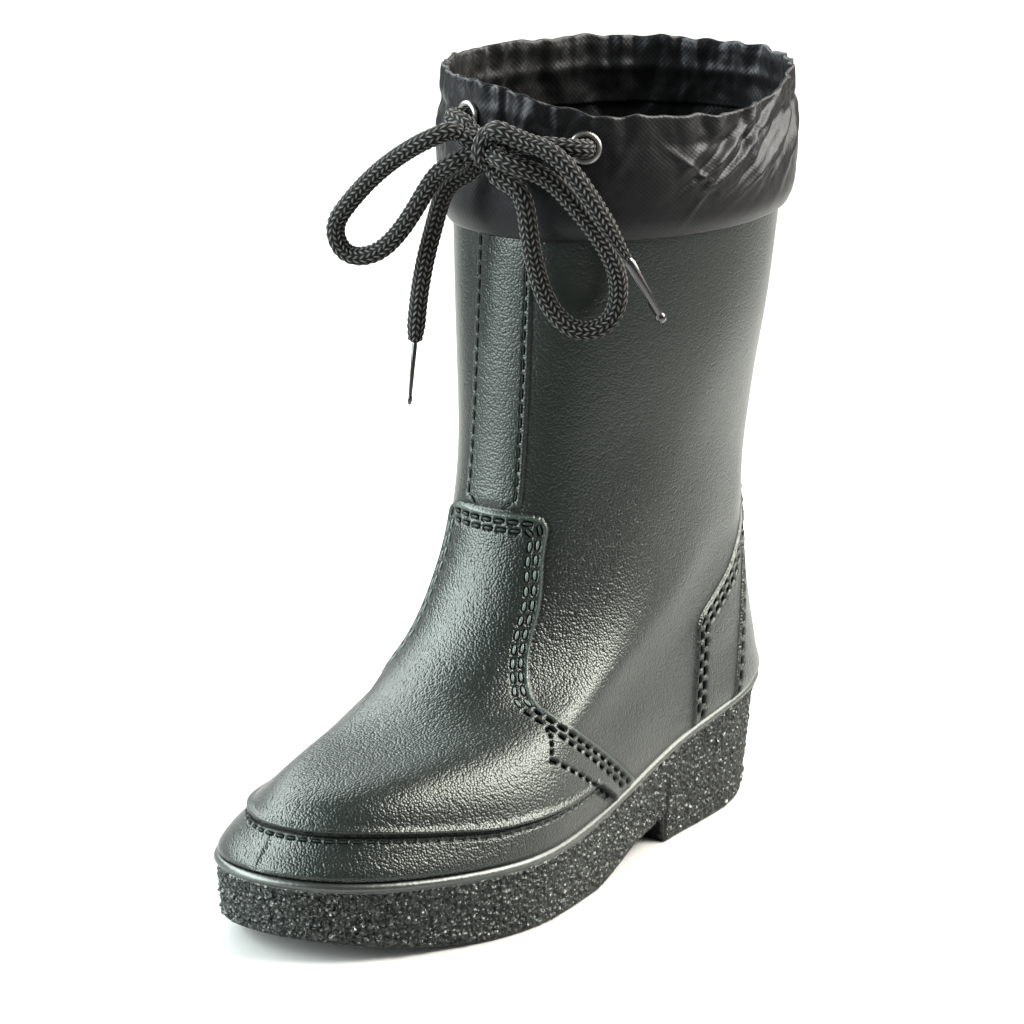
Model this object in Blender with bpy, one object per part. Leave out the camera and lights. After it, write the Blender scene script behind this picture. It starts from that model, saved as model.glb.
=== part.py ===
"""Kids rubber boot for the left foot, with a fabric cuff and a tied drawcord.

The toe points along +X, the outer side of the foot along +Y, and the floor is Z = 0.
Sizes are in millimetres and become metres where a mesh is made.
"""
import math
from collections import namedtuple

import bmesh
import bpy
import numpy as np
from mathutils import Matrix, Vector

MM = 0.001
GAP = 0.3                 # clearance between neighbouring pieces

# Driving sizes
HEEL_X = -98.5            # back of the sole
SOLE_LENGTH = 201.5
WALL = 2.2                # rubber of the upper
LIP_WIDTH = 2.2           # smooth bead round the top of the sole
LEDGE_DROP = 1.7          # the upper stands this far below the top of the bead
LEDGE_WIDTH = 4.1
INSOLE_THICK = 3.0
CUFF_THICK = 1.2
CORD_DIAMETER = 5.0
AGLET_DIAMETER = 2.8
COLUMNS = 40              # points round the upper, even

# Sole stations from heel (share 0) to toe (share 1): half width before the round of the ends,
# middle line to the outer side, top of the bead, footbed, and inset of the bottom edge.
Station = namedtuple("Station", "share half middle lip footbed taper")
SOLE = [
    Station(0.00, 49.5, 0.0, 36.0, 22.0, 4.5),
    Station(0.15, 40.0, 0.0, 34.0, 21.5, 4.5),
    Station(0.30, 32.0, 1.5, 30.0, 19.0, 3.5),
    Station(0.45, 30.5, 4.0, 24.3, 15.0, 2.0),
    Station(0.60, 37.8, 2.3, 20.8, 12.0, 1.5),
    Station(0.72, 43.5, 1.5, 20.0, 11.0, 1.5),
    Station(0.88, 48.5, -2.5, 20.5, 11.5, 1.5),
    Station(1.00, 56.0, -5.0, 22.0, 13.0, 2.0),
]

# Sections of the upper from the sole to the collar. Each is a closed ring: where it crosses the
# front and the back, how far its sides sag, its half widths from back to front, how much of the
# sole's curved middle line it keeps, and how much its inner side is drawn in towards the toe.
WIDTH_SHARES = (0.0, 0.15, 0.32, 0.5, 0.7, 0.87, 1.0)
Section = namedtuple("Section", "name front_x front_z back_x back_z sag widths curve inner")
UPPER = [
    Section("bulge", 97.5, 28.0, -94.5, 42.0, -3.0, (49, 39, 30.5, 31, 40.5, 43, 50), 0.95, 0.08),
    Section("toe edge", 92.0, 36.0, -93.5, 50.0, -2.5, (47, 38, 31, 30.5, 38.5, 40.5, 46), 0.7, 0.26),
    Section("toe top", 81.5, 41.2, -92.0, 58.0, -2.0, (44.5, 37, 31, 30, 36, 37, 42), 0.5, 0.3),
    Section("vamp", 64.0, 44.2, -90.5, 66.0, -0.5, (42.5, 35.5, 30.5, 30, 34, 34, 39), 0.4, 0.25),
    Section("instep", 46.0, 49.2, -89.5, 74.0, 0.0, (40.5, 34, 30, 30, 33, 32, 37), 0.35, 0.04),
    Section("bend", 31.0, 58.8, -89.0, 82.0, 0.0, (39, 33, 29.5, 30, 31.5, 30.5, 35), 0.3, 0.0),
    Section("throat", 20.0, 72.0, -89.0, 90.0, 0.0, (38.5, 32.5, 29.5, 29.5, 30.5, 30, 34), 0.2, 0.0),
    Section("ankle", 12.5, 88.0, -89.5, 100.0, 0.0, (38, 32, 29.5, 29.5, 30.5, 30.5, 33.5), 0.1, 0.0),
    Section("low shaft", 8.5, 107.5, -91.0, 112.0, 0.0, (38.5, 33, 30.5, 30.5, 31, 31, 34), 0.0, 0.0),
    Section("shaft", 6.5, 127.0, -93.0, 126.0, 0.0, (39, 35, 33, 33, 33, 33.5, 35.5), 0.0, 0.0),
    Section("calf", 5.0, 147.0, -96.0, 144.0, 0.0, (40, 37.5, 36, 36, 36, 36.5, 38), 0.0, 0.0),
    Section("collar", 3.3, 173.5, -99.2, 172.5, 0.0, (41, 40, 39, 39, 39, 39.5, 40.5), 0.0, 0.0),
]
ROWS_PER_SECTION = 2

# Moulded overlays: outlines seen from the side (x, z) or from the front (y, z), as corners with
# a corner radius, and how far each stands out of the upper.
VAMP_LIFT, STAY_LIFT, COUNTER_LIFT, BACKSTAY_LIFT = 1.1, 0.6, 0.7, 1.3
VAMP_OUTLINE = [
    (130, 97.5, 0), (3.8, 97.5, 4), (10.5, 75.0, 40), (27.5, 50.2, 4), (-8.0, 25.9, 0),
    (2.5, 23.3, 0), (13.0, 30.2, 3), (32.0, 29.4, 60), (56.0, 28.8, 60),
    (86.0, 32.2, 40), (130, 33.2, 0),
]
COUNTER_OUTLINE = [
    (-41.5, 32.0, 0), (-43.5, 45.0, 15), (-45.5, 59.5, 8), (-66.0, 69.5, 25), (-79.0, 80.0, 20),
    (-87.5, 95.0, 10), (-130, 106.0, 0), (-130, 37.2, 0), (-80.0, 36.0, 0),
]
BACKSTAY_OUTLINE = [
    (-62.0, 34.6, 0), (-66.5, 45.0, 8), (-70.5, 55.0, 15), (-76.0, 68.0, 15), (-84.0, 88.0, 0),
    (-130, 88.0, 0), (-130, 37.3, 0), (-80.0, 36.1, 0),
]
FRONT_STAY = [(-9.0, 95.0, 0), (8.6, 95.0, 0), (8.6, 169.3, 0), (-9.0, 169.3, 0)]
BACK_STAY = [(-7.0, 84.0, 0), (7.0, 84.0, 0), (7.0, 168.3, 0), (-7.0, 168.3, 0)]

# Underside of the sole: side outlines of the cuts, and the grooves between its lugs.
ARCH_CUT = [(-32.0, -6, 0), (-32.0, 7.5, 1.5), (-14.0, 5.2, 30), (3.0, 1.2, 30), (16.0, -1.0, 0),
            (16.0, -6, 0)]
TOE_CUT = [(52.0, -0.6, 0), (78.0, 2.0, 60), (130, 11.0, 0), (130, -6, 0), (52.0, -6, 0)]
HEEL_CUT = [(-130, 4.0, 0), (-86.0, -0.4, 0), (-86.0, -6, 0), (-130, -6, 0)]
GROOVE_WIDTH, GROOVE_DEPTH = 3.2, 2.6
TREAD_RIM = 8.5           # the grooves stop this far inside the sole's outline
HEEL_GROOVES = (-78.0, -64.0, -50.0)
FORE_GROOVES = (22.0, 34.0, 46.0, 58.0, 70.0, 82.0)

# Cuff: its foot over the collar, its rim over the collar by angle from the front, and how far
# outside the collar the cloth lies by share of its height. The rim dips where the cord draws it in.
CUFF_FOOT = -3.5
Rim = namedtuple("Rim", "angle height")
RIM = [Rim(-180, 33.0), Rim(-90, 35.0), Rim(-45, 36.5), Rim(-15, 36.5), Rim(0, 35.8), Rim(15, 33.0),
       Rim(35, 29.8), Rim(60, 28.3), Rim(88, 27.0), Rim(108, 29.0), Rim(126, 32.0), Rim(150, 33.0),
       Rim(180, 33.0)]
Ring = namedtuple("Ring", "share out")
CUFF = [Ring(0.0, 1.6), Ring(0.07, 2.8), Ring(0.25, 3.8), Ring(0.6, 3.8), Ring(0.82, 2.9), Ring(1.0, 2.6)]

# Eyelets: angle round the cuff from the front, and height over the collar.
Eyelet = namedtuple("Eyelet", "name angle height")
EYELETS = [Eyelet("eyelet_left", -13.6, 26.8), Eyelet("eyelet_right", 30.5, 21.6)]
EYELET_HOLE, EYELET_BARREL, EYELET_FLANGE = 2.75, 3.3, 4.4     # radii
EYELET_RISE = 1.15        # its rolled edge over the cloth

# The drawcord: its knot, and the routes of its strands by hand. A strand first leaves the knot in
# the direction given, then follows the points. A loop ends back at the knot the same way.
KNOT_AT = Vector((15.8, 2.3, 196.0))
KNOT_RADIUS = 5.6
Strand = namedtuple("Strand", "name leave route back")
STRANDS = [
    Strand("cord_loop_left", (4.2, -5.6, 3.4),
           [(22.3, -6.5, 199.0), (25.7, -15.2, 193.9), (27.7, -24.2, 186.6), (29.2, -31.4, 178.6),
            (29.3, -35.2, 171.2), (27.6, -33.0, 165.6), (25.6, -26.6, 165.6), (23.8, -20.3, 170.5),
            (21.7, -13.5, 180.8), (20.0, -8.3, 188.6)], (3.4, -5.6, -4.0)),
    Strand("cord_loop_right", (-0.8, 3.0, -6.0),
           [(13.8, 10.4, 186.0), (12.2, 14.3, 174.0), (10.5, 15.9, 162.5), (8.0, 19.2, 153.2),
            (4.2, 24.9, 148.4), (0.0, 30.0, 150.3), (-2.0, 32.4, 158.8), (2.0, 31.0, 170.7),
            (8.3, 26.0, 181.8), (14.4, 18.5, 190.4)], (2.8, 6.6, -1.8)),
    Strand("cord_end_left", (-2.4, -4.0, -6.0),
           [(12.9, -9.6, 184.4), (13.0, -14.9, 174.3), (14.2, -17.4, 163.5), (15.5, -18.7, 153.0),
            (16.6, -19.2, 141.5)], None),
    Strand("cord_end_right", (2.6, 5.4, 4.6),
           [(17.2, 12.7, 199.8), (14.4, 21.4, 196.8), (10.9, 28.6, 189.3), (7.2, 34.3, 178.8),
            (2.0, 38.3, 168.2)], None),
]
# Runs of cord from the face of an eyelet to the knot: which eyelet, and where it meets the knot.
Run = namedtuple("Run", "name eyelet leave")
RUNS = [Run("cord_run_left", 0, (-2.0, -6.0, 3.6)), Run("cord_run_right", 1, (-3.0, 6.0, 0.4))]
RUN_RISE = 4.3            # how far a run stands off the cloth before it turns
# Each tip: the strand that it ends, and its far point.
AGLETS = [("aglet_left", "cord_end_left", (18.4, -19.8, 124.8)),
          ("aglet_right", "cord_end_right", (-7.5, 42.6, 150.8))]


def spline_basis(knots, at):
    """Weights that carry values at the knots to a natural cubic spline at the given places."""
    knots = np.asarray(knots, float)
    at = np.clip(np.asarray(at, float), knots[0], knots[-1])
    step, count = np.diff(knots), len(knots)
    bend, pull = np.zeros((count, count)), np.zeros((count, count))
    bend[0, 0] = bend[-1, -1] = 1.0
    for i in range(1, count - 1):
        bend[i, i - 1:i + 2] = step[i - 1] / 6, (step[i - 1] + step[i]) / 3, step[i] / 6
        pull[i, i - 1:i + 2] = 1 / step[i - 1], -1 / step[i - 1] - 1 / step[i], 1 / step[i]
    curve = np.linalg.solve(bend, pull)
    cell = np.clip(np.searchsorted(knots, at, side="right") - 1, 0, count - 2)
    h = step[cell]
    b = (at - knots[cell]) / h
    a = 1 - b
    unit = np.eye(count)
    return (a[:, None] * unit[cell] + b[:, None] * unit[cell + 1]
            + ((a ** 3 - a) * h * h / 6)[:, None] * curve[cell]
            + ((b ** 3 - b) * h * h / 6)[:, None] * curve[cell + 1])


def angles(count):
    """Angles round the boot: 0 at the toe, a quarter turn at the outer side."""
    return np.linspace(0, 2 * math.pi, count, endpoint=False)


def sole_column(column, phi):
    """One column of the sole's table, at each angle."""
    shares = [station.share for station in SOLE]
    values = np.array([getattr(station, column) for station in SOLE])
    return spline_basis(shares, (1 + np.cos(phi)) / 2) @ values


def plan_normals(ring):
    """Outward normals in plan of a closed ring that runs from toe to outer side."""
    along = np.roll(ring, -1, axis=0) - np.roll(ring, 1, axis=0)
    normal = np.stack([along[:, 1], -along[:, 0], np.zeros(len(ring))], axis=1)
    return normal / np.linalg.norm(normal, axis=1, keepdims=True)


def sole_ring(phi, inset, height):
    """The sole's outline drawn in by inset, at the heights given."""
    share = (1 + np.cos(phi)) / 2
    ring = np.stack([HEEL_X + SOLE_LENGTH * share,
                     sole_column("half", phi) * np.sin(phi) + sole_column("middle", phi),
                     np.broadcast_to(height, phi.shape)], axis=1)
    ring = ring.astype(float)
    return ring - plan_normals(ring) * np.reshape(inset, (-1, 1))


def section_ring(section, phi):
    """One section of the upper, at each angle."""
    share = (1 + np.cos(phi)) / 2
    half = spline_basis(WIDTH_SHARES, share) @ np.array(section.widths, float)
    towards_toe = np.clip((share - 0.5) / 0.4, 0, 1) * (np.sin(phi) < 0)
    half = half * (1 - section.inner * towards_toe * towards_toe * (3 - 2 * towards_toe))
    return np.stack([section.back_x + (section.front_x - section.back_x) * share,
                     half * np.sin(phi) + section.curve * sole_column("middle", phi),
                     section.back_z + (section.front_z - section.back_z) * share
                     + section.sag * np.sin(math.pi * share) ** 2], axis=1)


def upper_grid(lift=0.0):
    """Rings of points on the upper, from the sole to the collar, moved out by lift."""
    phi = angles(COLUMNS)
    lip = sole_column("lip", phi)
    feather = LIP_WIDTH + 2 * GAP
    keys = [sole_ring(phi, feather, lip - LEDGE_DROP + GAP), sole_ring(phi, feather, lip + 2 * GAP)]
    keys += [section_ring(section, phi) for section in UPPER]
    rows = np.linspace(0, len(keys) - 1, (len(keys) - 1) * ROWS_PER_SECTION + 1)
    rows = np.delete(rows, range(1, ROWS_PER_SECTION))
    grid = np.einsum("rk,kpc->rpc", spline_basis(range(len(keys)), rows), np.array(keys))
    grid[0], grid[1] = keys[0], keys[1]
    if lift:
        round_boot = np.roll(grid, -1, axis=1) - np.roll(grid, 1, axis=1)
        normal = np.cross(round_boot, np.gradient(grid, axis=0))
        grid = grid + lift * normal / np.linalg.norm(normal, axis=2, keepdims=True)
    return grid


def rounded(corners, steps=5):
    """A closed outline through corners (a, b, radius), with an arc of steps at each round one."""
    points = []
    for i, (a, b, radius) in enumerate(corners):
        here = Vector((a, b))
        if not radius:
            points.append(here)
            continue
        before = Vector(corners[i - 1][:2]) - here
        after = Vector(corners[(i + 1) % len(corners)][:2]) - here
        half = before.angle(after) / 2
        reach = min(radius / math.tan(half), 0.45 * before.length, 0.45 * after.length)
        start, end = here + before.normalized() * reach, here + after.normalized() * reach
        for k in range(steps + 1):
            s = k / steps
            points.append(start * (1 - s) ** 2 + here * 2 * s * (1 - s) + end * s * s)
    return points


def material(name, colour, roughness, metallic=0.0):
    made = bpy.data.materials.new(name)
    made.use_nodes = True
    shader = made.node_tree.nodes["Principled BSDF"]
    shader.inputs["Base Color"].default_value = (*colour, 1)
    shader.inputs["Roughness"].default_value = roughness
    shader.inputs["Metallic"].default_value = metallic
    return made


def add_object(name, data, finish=None):
    piece = bpy.data.objects.new(name, data)
    bpy.context.collection.objects.link(piece)
    if finish:
        data.materials.append(finish)
    return piece


def mesh_object(name, form, finish=None, smooth=True):
    """An object from a bmesh in millimetres, with its faces turned outwards."""
    bmesh.ops.scale(form, vec=(MM, MM, MM), verts=form.verts)
    bmesh.ops.recalc_face_normals(form, faces=form.faces)
    mesh = bpy.data.meshes.new(name)
    form.to_mesh(mesh)
    form.free()
    if smooth:
        mesh.shade_smooth()
        mesh.set_sharp_from_angle(angle=math.radians(40))
    return add_object(name, mesh, finish)


def cutter(piece):
    """Marks an object as a guide that shapes others and is not a piece itself."""
    piece.hide_render = True
    piece.display_type = "WIRE"
    return piece


def combine(piece, other, operation):
    change = piece.modifiers.new(other.name, "BOOLEAN")
    change.object = other
    change.operation = operation
    change.solver = "EXACT"


def ring_verts(form, grid):
    return [[form.verts.new(point) for point in ring] for ring in grid]


def skin(form, rings, closed=False):
    """Joins neighbouring rings with quads. A closed stack joins its last ring to its first."""
    pairs = list(zip(rings, rings[1:])) + ([(rings[-1], rings[0])] if closed else [])
    for low, high in pairs:
        for i in range(len(low)):
            j = (i + 1) % len(low)
            form.faces.new((low[i], low[j], high[j], high[i]))


def ladder(form, ring):
    """Closes a ring with strips that run straight across it."""
    last = len(ring)
    form.faces.new((ring[0], ring[1], ring[last - 1]))
    for i in range(1, last // 2 - 1):
        form.faces.new((ring[i], ring[i + 1], ring[last - i - 1], ring[last - i]))
    middle = last // 2
    form.faces.new((ring[middle - 1], ring[middle], ring[middle + 1]))


def stack(name, grid, finish=None):
    """A closed solid through a stack of rings, capped at both ends."""
    form = bmesh.new()
    rings = ring_verts(form, grid)
    skin(form, rings)
    ladder(form, rings[0])
    ladder(form, rings[-1])
    return mesh_object(name, form, finish)


def prism(name, corners, place, reach):
    """A guide with the outline of the corners, swept between the two reaches."""
    form = bmesh.new()
    face = form.faces.new([form.verts.new(place(point, reach[0])) for point in rounded(corners)])
    swept = bmesh.ops.extrude_face_region(form, geom=[face])
    moved = [item for item in swept["geom"] if isinstance(item, bmesh.types.BMVert)]
    sweep = place((0, 0), reach[1]) - place((0, 0), reach[0])
    bmesh.ops.translate(form, verts=moved, vec=sweep)
    return cutter(mesh_object(name, form, smooth=False))


def from_side(point, reach):
    return Vector((point[0], reach, point[1]))


def from_front(point, reach):
    return Vector((reach, point[0], point[1]))


def build_outsole(finish):
    """Crepe sole with its bead, the ledge that the upper stands on, and the footbed."""
    phi = angles(60)
    lip, footbed = sole_column("lip", phi), sole_column("footbed", phi)
    taper = sole_column("taper", phi)
    inner = LIP_WIDTH + LEDGE_WIDTH
    grid = [sole_ring(phi, inset, height) for inset, height in (
        (taper, 0.0), (taper * 0.2 + 1.0, lip - 3.6), (1.0, lip - 3.0), (0.1, lip - 2.4),
        (0.0, lip - 0.9), (0.8, lip), (LIP_WIDTH - 0.6, lip), (LIP_WIDTH, lip - 0.5),
        (LIP_WIDTH, lip - LEDGE_DROP), (inner, lip - LEDGE_DROP), (inner, footbed))]
    sole = stack("outsole", grid, finish)
    for name, corners in (("arch_cut", ARCH_CUT), ("toe_cut", TOE_CUT), ("heel_cut", HEEL_CUT)):
        combine(sole, prism(name, corners, from_side, (-80, 80)), "DIFFERENCE")
    grooves = bmesh.new()
    for x in HEEL_GROOVES + FORE_GROOVES:
        rise = max(0.0, (x - 60) * 0.11)
        size = Matrix.Diagonal((GROOVE_WIDTH, 160, 2 * (GROOVE_DEPTH + rise), 1))
        bmesh.ops.create_cube(grooves, size=1, matrix=Matrix.Translation((x, 0, 0)) @ size)
    tread = cutter(mesh_object("tread_grooves", grooves, smooth=False))
    area = [sole_ring(phi, TREAD_RIM, -10.0), sole_ring(phi, TREAD_RIM, 10.0)]
    combine(tread, cutter(stack("tread_area", area)), "INTERSECT")
    combine(sole, tread, "DIFFERENCE")
    return sole


def build_upper(finish):
    """One moulded wall with its overlays standing out of it, open at the collar and underneath."""
    upper = stack("upper", upper_grid(), finish)
    overlays = (
        ("vamp", VAMP_LIFT, VAMP_OUTLINE, from_side, (-80, 80)),
        ("front_stay", STAY_LIFT, FRONT_STAY, from_front, (-30, 60)),
        ("counter", COUNTER_LIFT, COUNTER_OUTLINE, from_side, (-80, 80)),
        ("backstay", BACKSTAY_LIFT, BACKSTAY_OUTLINE, from_side, (-80, 80)),
        ("back_strip", STAY_LIFT, BACK_STAY, from_front, (-140, -60)),
    )
    for name, lift, corners, place, reach in overlays:
        larger = cutter(stack(name + "_form", upper_grid(lift)))
        combine(larger, prism(name + "_outline", corners, place, reach), "INTERSECT")
        combine(upper, larger, "UNION")
    inside = upper_grid(-WALL)
    below, above = inside[:1] - (0, 0, 6), inside[-1:] + (0, 0, 6)
    cavity = cutter(stack("foot_space", np.concatenate([below, inside, above])))
    combine(upper, cavity, "DIFFERENCE")
    return upper


def build_insole(finish):
    phi = angles(48)
    bottom = sole_column("footbed", phi) + GAP
    inset = LIP_WIDTH + LEDGE_WIDTH + 2 * GAP
    grid = [sole_ring(phi, inset, bottom), sole_ring(phi, inset, bottom + INSOLE_THICK)]
    return stack("insole", grid, finish)


def cuff_out(share):
    """How far outside the collar the cloth lies, at a share of the cuff's height."""
    return float(spline_basis([ring.share for ring in CUFF], [share])[0] @ [ring.out for ring in CUFF])


def rim_height(phi):
    angle = (np.degrees(phi) + 180) % 360 - 180
    return np.interp(angle, [rim.angle for rim in RIM], [rim.height for rim in RIM])


def cuff_ring(phi, share, out):
    """A ring of the cuff, at a share of its height."""
    collar = section_ring(UPPER[-1], phi)
    ring = collar + plan_normals(collar) * out
    ring[:, 2] += CUFF_FOOT + (rim_height(phi) - CUFF_FOOT) * share
    return ring


def cuff_frame(angle, height):
    """A point on the outside of the cuff, with its outward direction."""
    phi = math.radians(angle) + np.linspace(-0.02, 0.02, 5)
    collar = section_ring(UPPER[-1], phi)
    along = collar[3] - collar[1]
    normal = Vector((along[1], -along[0], 0)).normalized()
    tall = float(rim_height(phi)[2]) - CUFF_FOOT
    share = (height - CUFF_FOOT) / tall
    lean = (cuff_out(share + 0.02) - cuff_out(share - 0.02)) / (0.04 * tall)
    point = Vector(collar[2]) + normal * cuff_out(share) + Vector((0, 0, height))
    return point, (normal - Vector((0, 0, lean))).normalized()


def build_cuff(finish):
    """Cloth tube round the collar, with a hole for each eyelet."""
    phi = angles(44)
    shares = [0.0, 0.07, 0.25, 0.58, 0.72, 0.85, 1.0]
    outer = [cuff_ring(phi, share, cuff_out(share)) for share in shares]
    inner = [cuff_ring(phi, share, cuff_out(share) - CUFF_THICK) for share in shares[::-1]]
    form = bmesh.new()
    skin(form, ring_verts(form, outer + inner), closed=True)
    cuff = mesh_object("cuff", form, finish)
    for eyelet in EYELETS:
        point, normal = cuff_frame(eyelet.angle, eyelet.height)
        form = bmesh.new()
        turn = normal.to_track_quat("Z", "Y").to_matrix().to_4x4()
        radius = EYELET_BARREL + GAP
        bmesh.ops.create_cone(form, cap_ends=True, segments=20, radius1=radius, radius2=radius, depth=12,
                              matrix=Matrix.Translation(point) @ turn)
        combine(cuff, cutter(mesh_object(eyelet.name + "_hole", form, smooth=False)), "DIFFERENCE")
    return cuff


def build_eyelet(eyelet, finish):
    """Metal ring with a rolled flange on each side of the cloth, turned about its own axis."""
    hole, barrel, flange = EYELET_HOLE, EYELET_BARREL, EYELET_FLANGE
    inside = -CUFF_THICK - 2 * GAP
    profile = [(hole, 0.5), (hole + 0.45, EYELET_RISE), (flange - 0.6, EYELET_RISE),
               (flange, GAP + 0.25), (flange - 0.2, GAP), (barrel, GAP), (barrel, inside),
               (flange - 0.4, inside), (flange - 0.4, inside - 0.5), (hole, inside - 0.5)]
    form = bmesh.new()
    steps = 16
    rings = [[form.verts.new((r * math.cos(a), r * math.sin(a), h)) for a in angles(steps)]
             for r, h in profile]
    skin(form, rings, closed=True)
    ring = mesh_object(eyelet.name, form, finish)
    point, normal = cuff_frame(eyelet.angle, eyelet.height)
    ring.location = point * MM
    ring.rotation_mode = "QUATERNION"
    ring.rotation_quaternion = normal.to_track_quat("Z", "Y")
    return ring


def knot_port(direction):
    """Two points just clear of the knot, straight out of it in a direction."""
    out = Vector(direction).normalized()
    return [KNOT_AT + out * (KNOT_RADIUS + GAP + reach) for reach in (GAP, 2.5)]


def smooth_route(points, spacing=5.0):
    """Points at even steps along a smooth curve through a route."""
    route = np.array([tuple(point) for point in points])
    along = np.concatenate([[0], np.cumsum(np.linalg.norm(np.diff(route, axis=0), axis=1))])
    count = max(4, round(along[-1] / spacing) + 1)
    return spline_basis(along, np.linspace(0, along[-1], count)) @ route


def build_cord(name, points, finish):
    curve = bpy.data.curves.new(name, "CURVE")
    curve.dimensions = "3D"
    curve.bevel_depth = CORD_DIAMETER / 2 * MM
    curve.bevel_resolution = 2
    curve.use_fill_caps = True
    spline = curve.splines.new("POLY")
    spline.points.add(len(points) - 1)
    for place, point in zip(spline.points, points):
        place.co = (*(point * MM), 1)
    return add_object(name, curve, finish)


def strand_points(strand):
    route = knot_port(strand.leave) + [Vector(point) for point in strand.route]
    if strand.back:
        route += reversed(knot_port(strand.back))
    return smooth_route(route)


def run_points(run):
    """A short run of cord that comes straight out of an eyelet and turns to the knot."""
    eyelet = EYELETS[run.eyelet]
    point, normal = cuff_frame(eyelet.angle, eyelet.height)
    port, outer = knot_port(run.leave)
    start = point + normal * (EYELET_RISE + 2 * GAP)
    return smooth_route([start, point + normal * RUN_RISE, outer, port], spacing=2.5)


def build_knot(finish):
    form = bmesh.new()
    bmesh.ops.create_uvsphere(form, u_segments=12, v_segments=8, radius=KNOT_RADIUS,
                              matrix=Matrix.Translation(KNOT_AT))
    return mesh_object("cord_knot", form, finish)


def build_aglet(name, start, end, finish):
    """A thin moulded tip, with a rounded far end."""
    radius = AGLET_DIAMETER / 2
    length = (end - start).length
    profile = [(radius, 0), (radius, length - 1.0), (radius * 0.6, length)]
    form = bmesh.new()
    steps = 12
    rings = [[form.verts.new((r * math.cos(a), r * math.sin(a), h)) for a in angles(steps)]
             for r, h in profile]
    skin(form, rings)
    form.faces.new(rings[0])
    form.faces.new(rings[-1])
    tip = mesh_object(name, form, finish)
    tip.location = start * MM
    tip.rotation_mode = "QUATERNION"
    tip.rotation_quaternion = (end - start).to_track_quat("Z", "Y")
    return tip


def main():
    for old in list(bpy.data.objects):
        bpy.data.objects.remove(old, do_unlink=True)
    rubber = material("green_rubber", (0.045, 0.06, 0.054), 0.38)
    crepe = material("crepe_rubber", (0.035, 0.042, 0.04), 0.55)
    felt = material("insole_felt", (0.06, 0.06, 0.06), 0.95)
    nylon = material("cuff_nylon", (0.018, 0.018, 0.02), 0.55)
    nickel = material("eyelet_nickel", (0.55, 0.54, 0.52), 0.3, 1.0)
    braid = material("cord_braid", (0.012, 0.012, 0.013), 0.7)
    tip = material("aglet_plastic", (0.01, 0.01, 0.01), 0.2)

    build_outsole(crepe)
    build_upper(rubber)
    build_insole(felt)
    build_cuff(nylon)
    for eyelet in EYELETS:
        build_eyelet(eyelet, nickel)
    build_knot(braid)
    for run in RUNS:
        build_cord(run.name, run_points(run), braid)
    tails = {}
    for strand in STRANDS:
        points = strand_points(strand)
        tails[strand.name] = points
        build_cord(strand.name, points, braid)
    for name, cord, far in AGLETS:
        last, before = Vector(tails[cord][-1]), Vector(tails[cord][-2])
        start = last + (last - before).normalized() * GAP
        build_aglet(name, start, Vector(far), tip)


main()
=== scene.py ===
"""Looks of a child's moulded rubber boot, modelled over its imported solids.

The toe points along +X, the outer side of the left foot along +Y, and the floor is Z = 0.
Shapes are worked out in millimetres and become metres where a piece is finished.
"""
import math
from collections import namedtuple

import bmesh
import bpy
import numpy as np
from bpy.props import FloatProperty, FloatVectorProperty, IntProperty, PointerProperty
from mathutils import Matrix, Vector, kdtree, noise


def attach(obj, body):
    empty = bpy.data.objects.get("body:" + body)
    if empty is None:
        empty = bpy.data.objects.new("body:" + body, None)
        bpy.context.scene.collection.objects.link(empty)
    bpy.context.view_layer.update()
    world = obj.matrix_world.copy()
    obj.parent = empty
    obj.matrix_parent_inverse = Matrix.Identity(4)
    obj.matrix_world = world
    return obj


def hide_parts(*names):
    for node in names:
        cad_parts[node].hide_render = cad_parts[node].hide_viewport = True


bl_info = {
    "name": "Kids Rubber Boot",
    "version": (1, 0, 0),
    "blender": (4, 5, 0),
    "location": "3D View > Sidebar > Boot",
    "description": "Models the upper, sole, cuff and drawcord of a child's boot over its solids",
    "category": "Add Mesh",
}

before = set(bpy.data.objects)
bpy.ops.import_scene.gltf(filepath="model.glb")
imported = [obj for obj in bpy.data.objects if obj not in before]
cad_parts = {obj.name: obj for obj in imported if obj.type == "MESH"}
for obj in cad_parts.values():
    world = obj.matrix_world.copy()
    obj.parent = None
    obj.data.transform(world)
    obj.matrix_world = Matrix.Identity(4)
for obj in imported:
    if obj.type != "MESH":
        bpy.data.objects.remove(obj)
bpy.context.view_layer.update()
MM = 0.001
GAP = 0.3                 # clearance between neighbouring pieces

# The last and the sole
HEEL_X, SOLE_LENGTH = -98.5, 201.5
WALL = 2.2                # rubber of the upper
LIP_WIDTH = 2.2           # smooth bead round the top of the sole
LEDGE_DROP, LEDGE_WIDTH = 1.7, 4.1
INSOLE_THICK = 3.0

# Sole stations from heel (share 0) to toe (share 1)
Station = namedtuple("Station", "share half middle lip footbed taper")
SOLE = [
    Station(0.00, 49.5, 0.0, 36.0, 22.0, 4.5),
    Station(0.15, 40.0, 0.0, 34.0, 21.5, 4.5),
    Station(0.30, 32.0, 1.5, 30.0, 19.0, 3.5),
    Station(0.45, 30.5, 4.0, 24.3, 15.0, 2.0),
    Station(0.60, 37.8, 2.3, 20.8, 12.0, 1.5),
    Station(0.72, 43.5, 1.5, 20.0, 11.0, 1.5),
    Station(0.88, 48.5, -2.5, 20.5, 11.5, 1.5),
    Station(1.00, 56.0, -5.0, 22.0, 13.0, 2.0),
]
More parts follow.
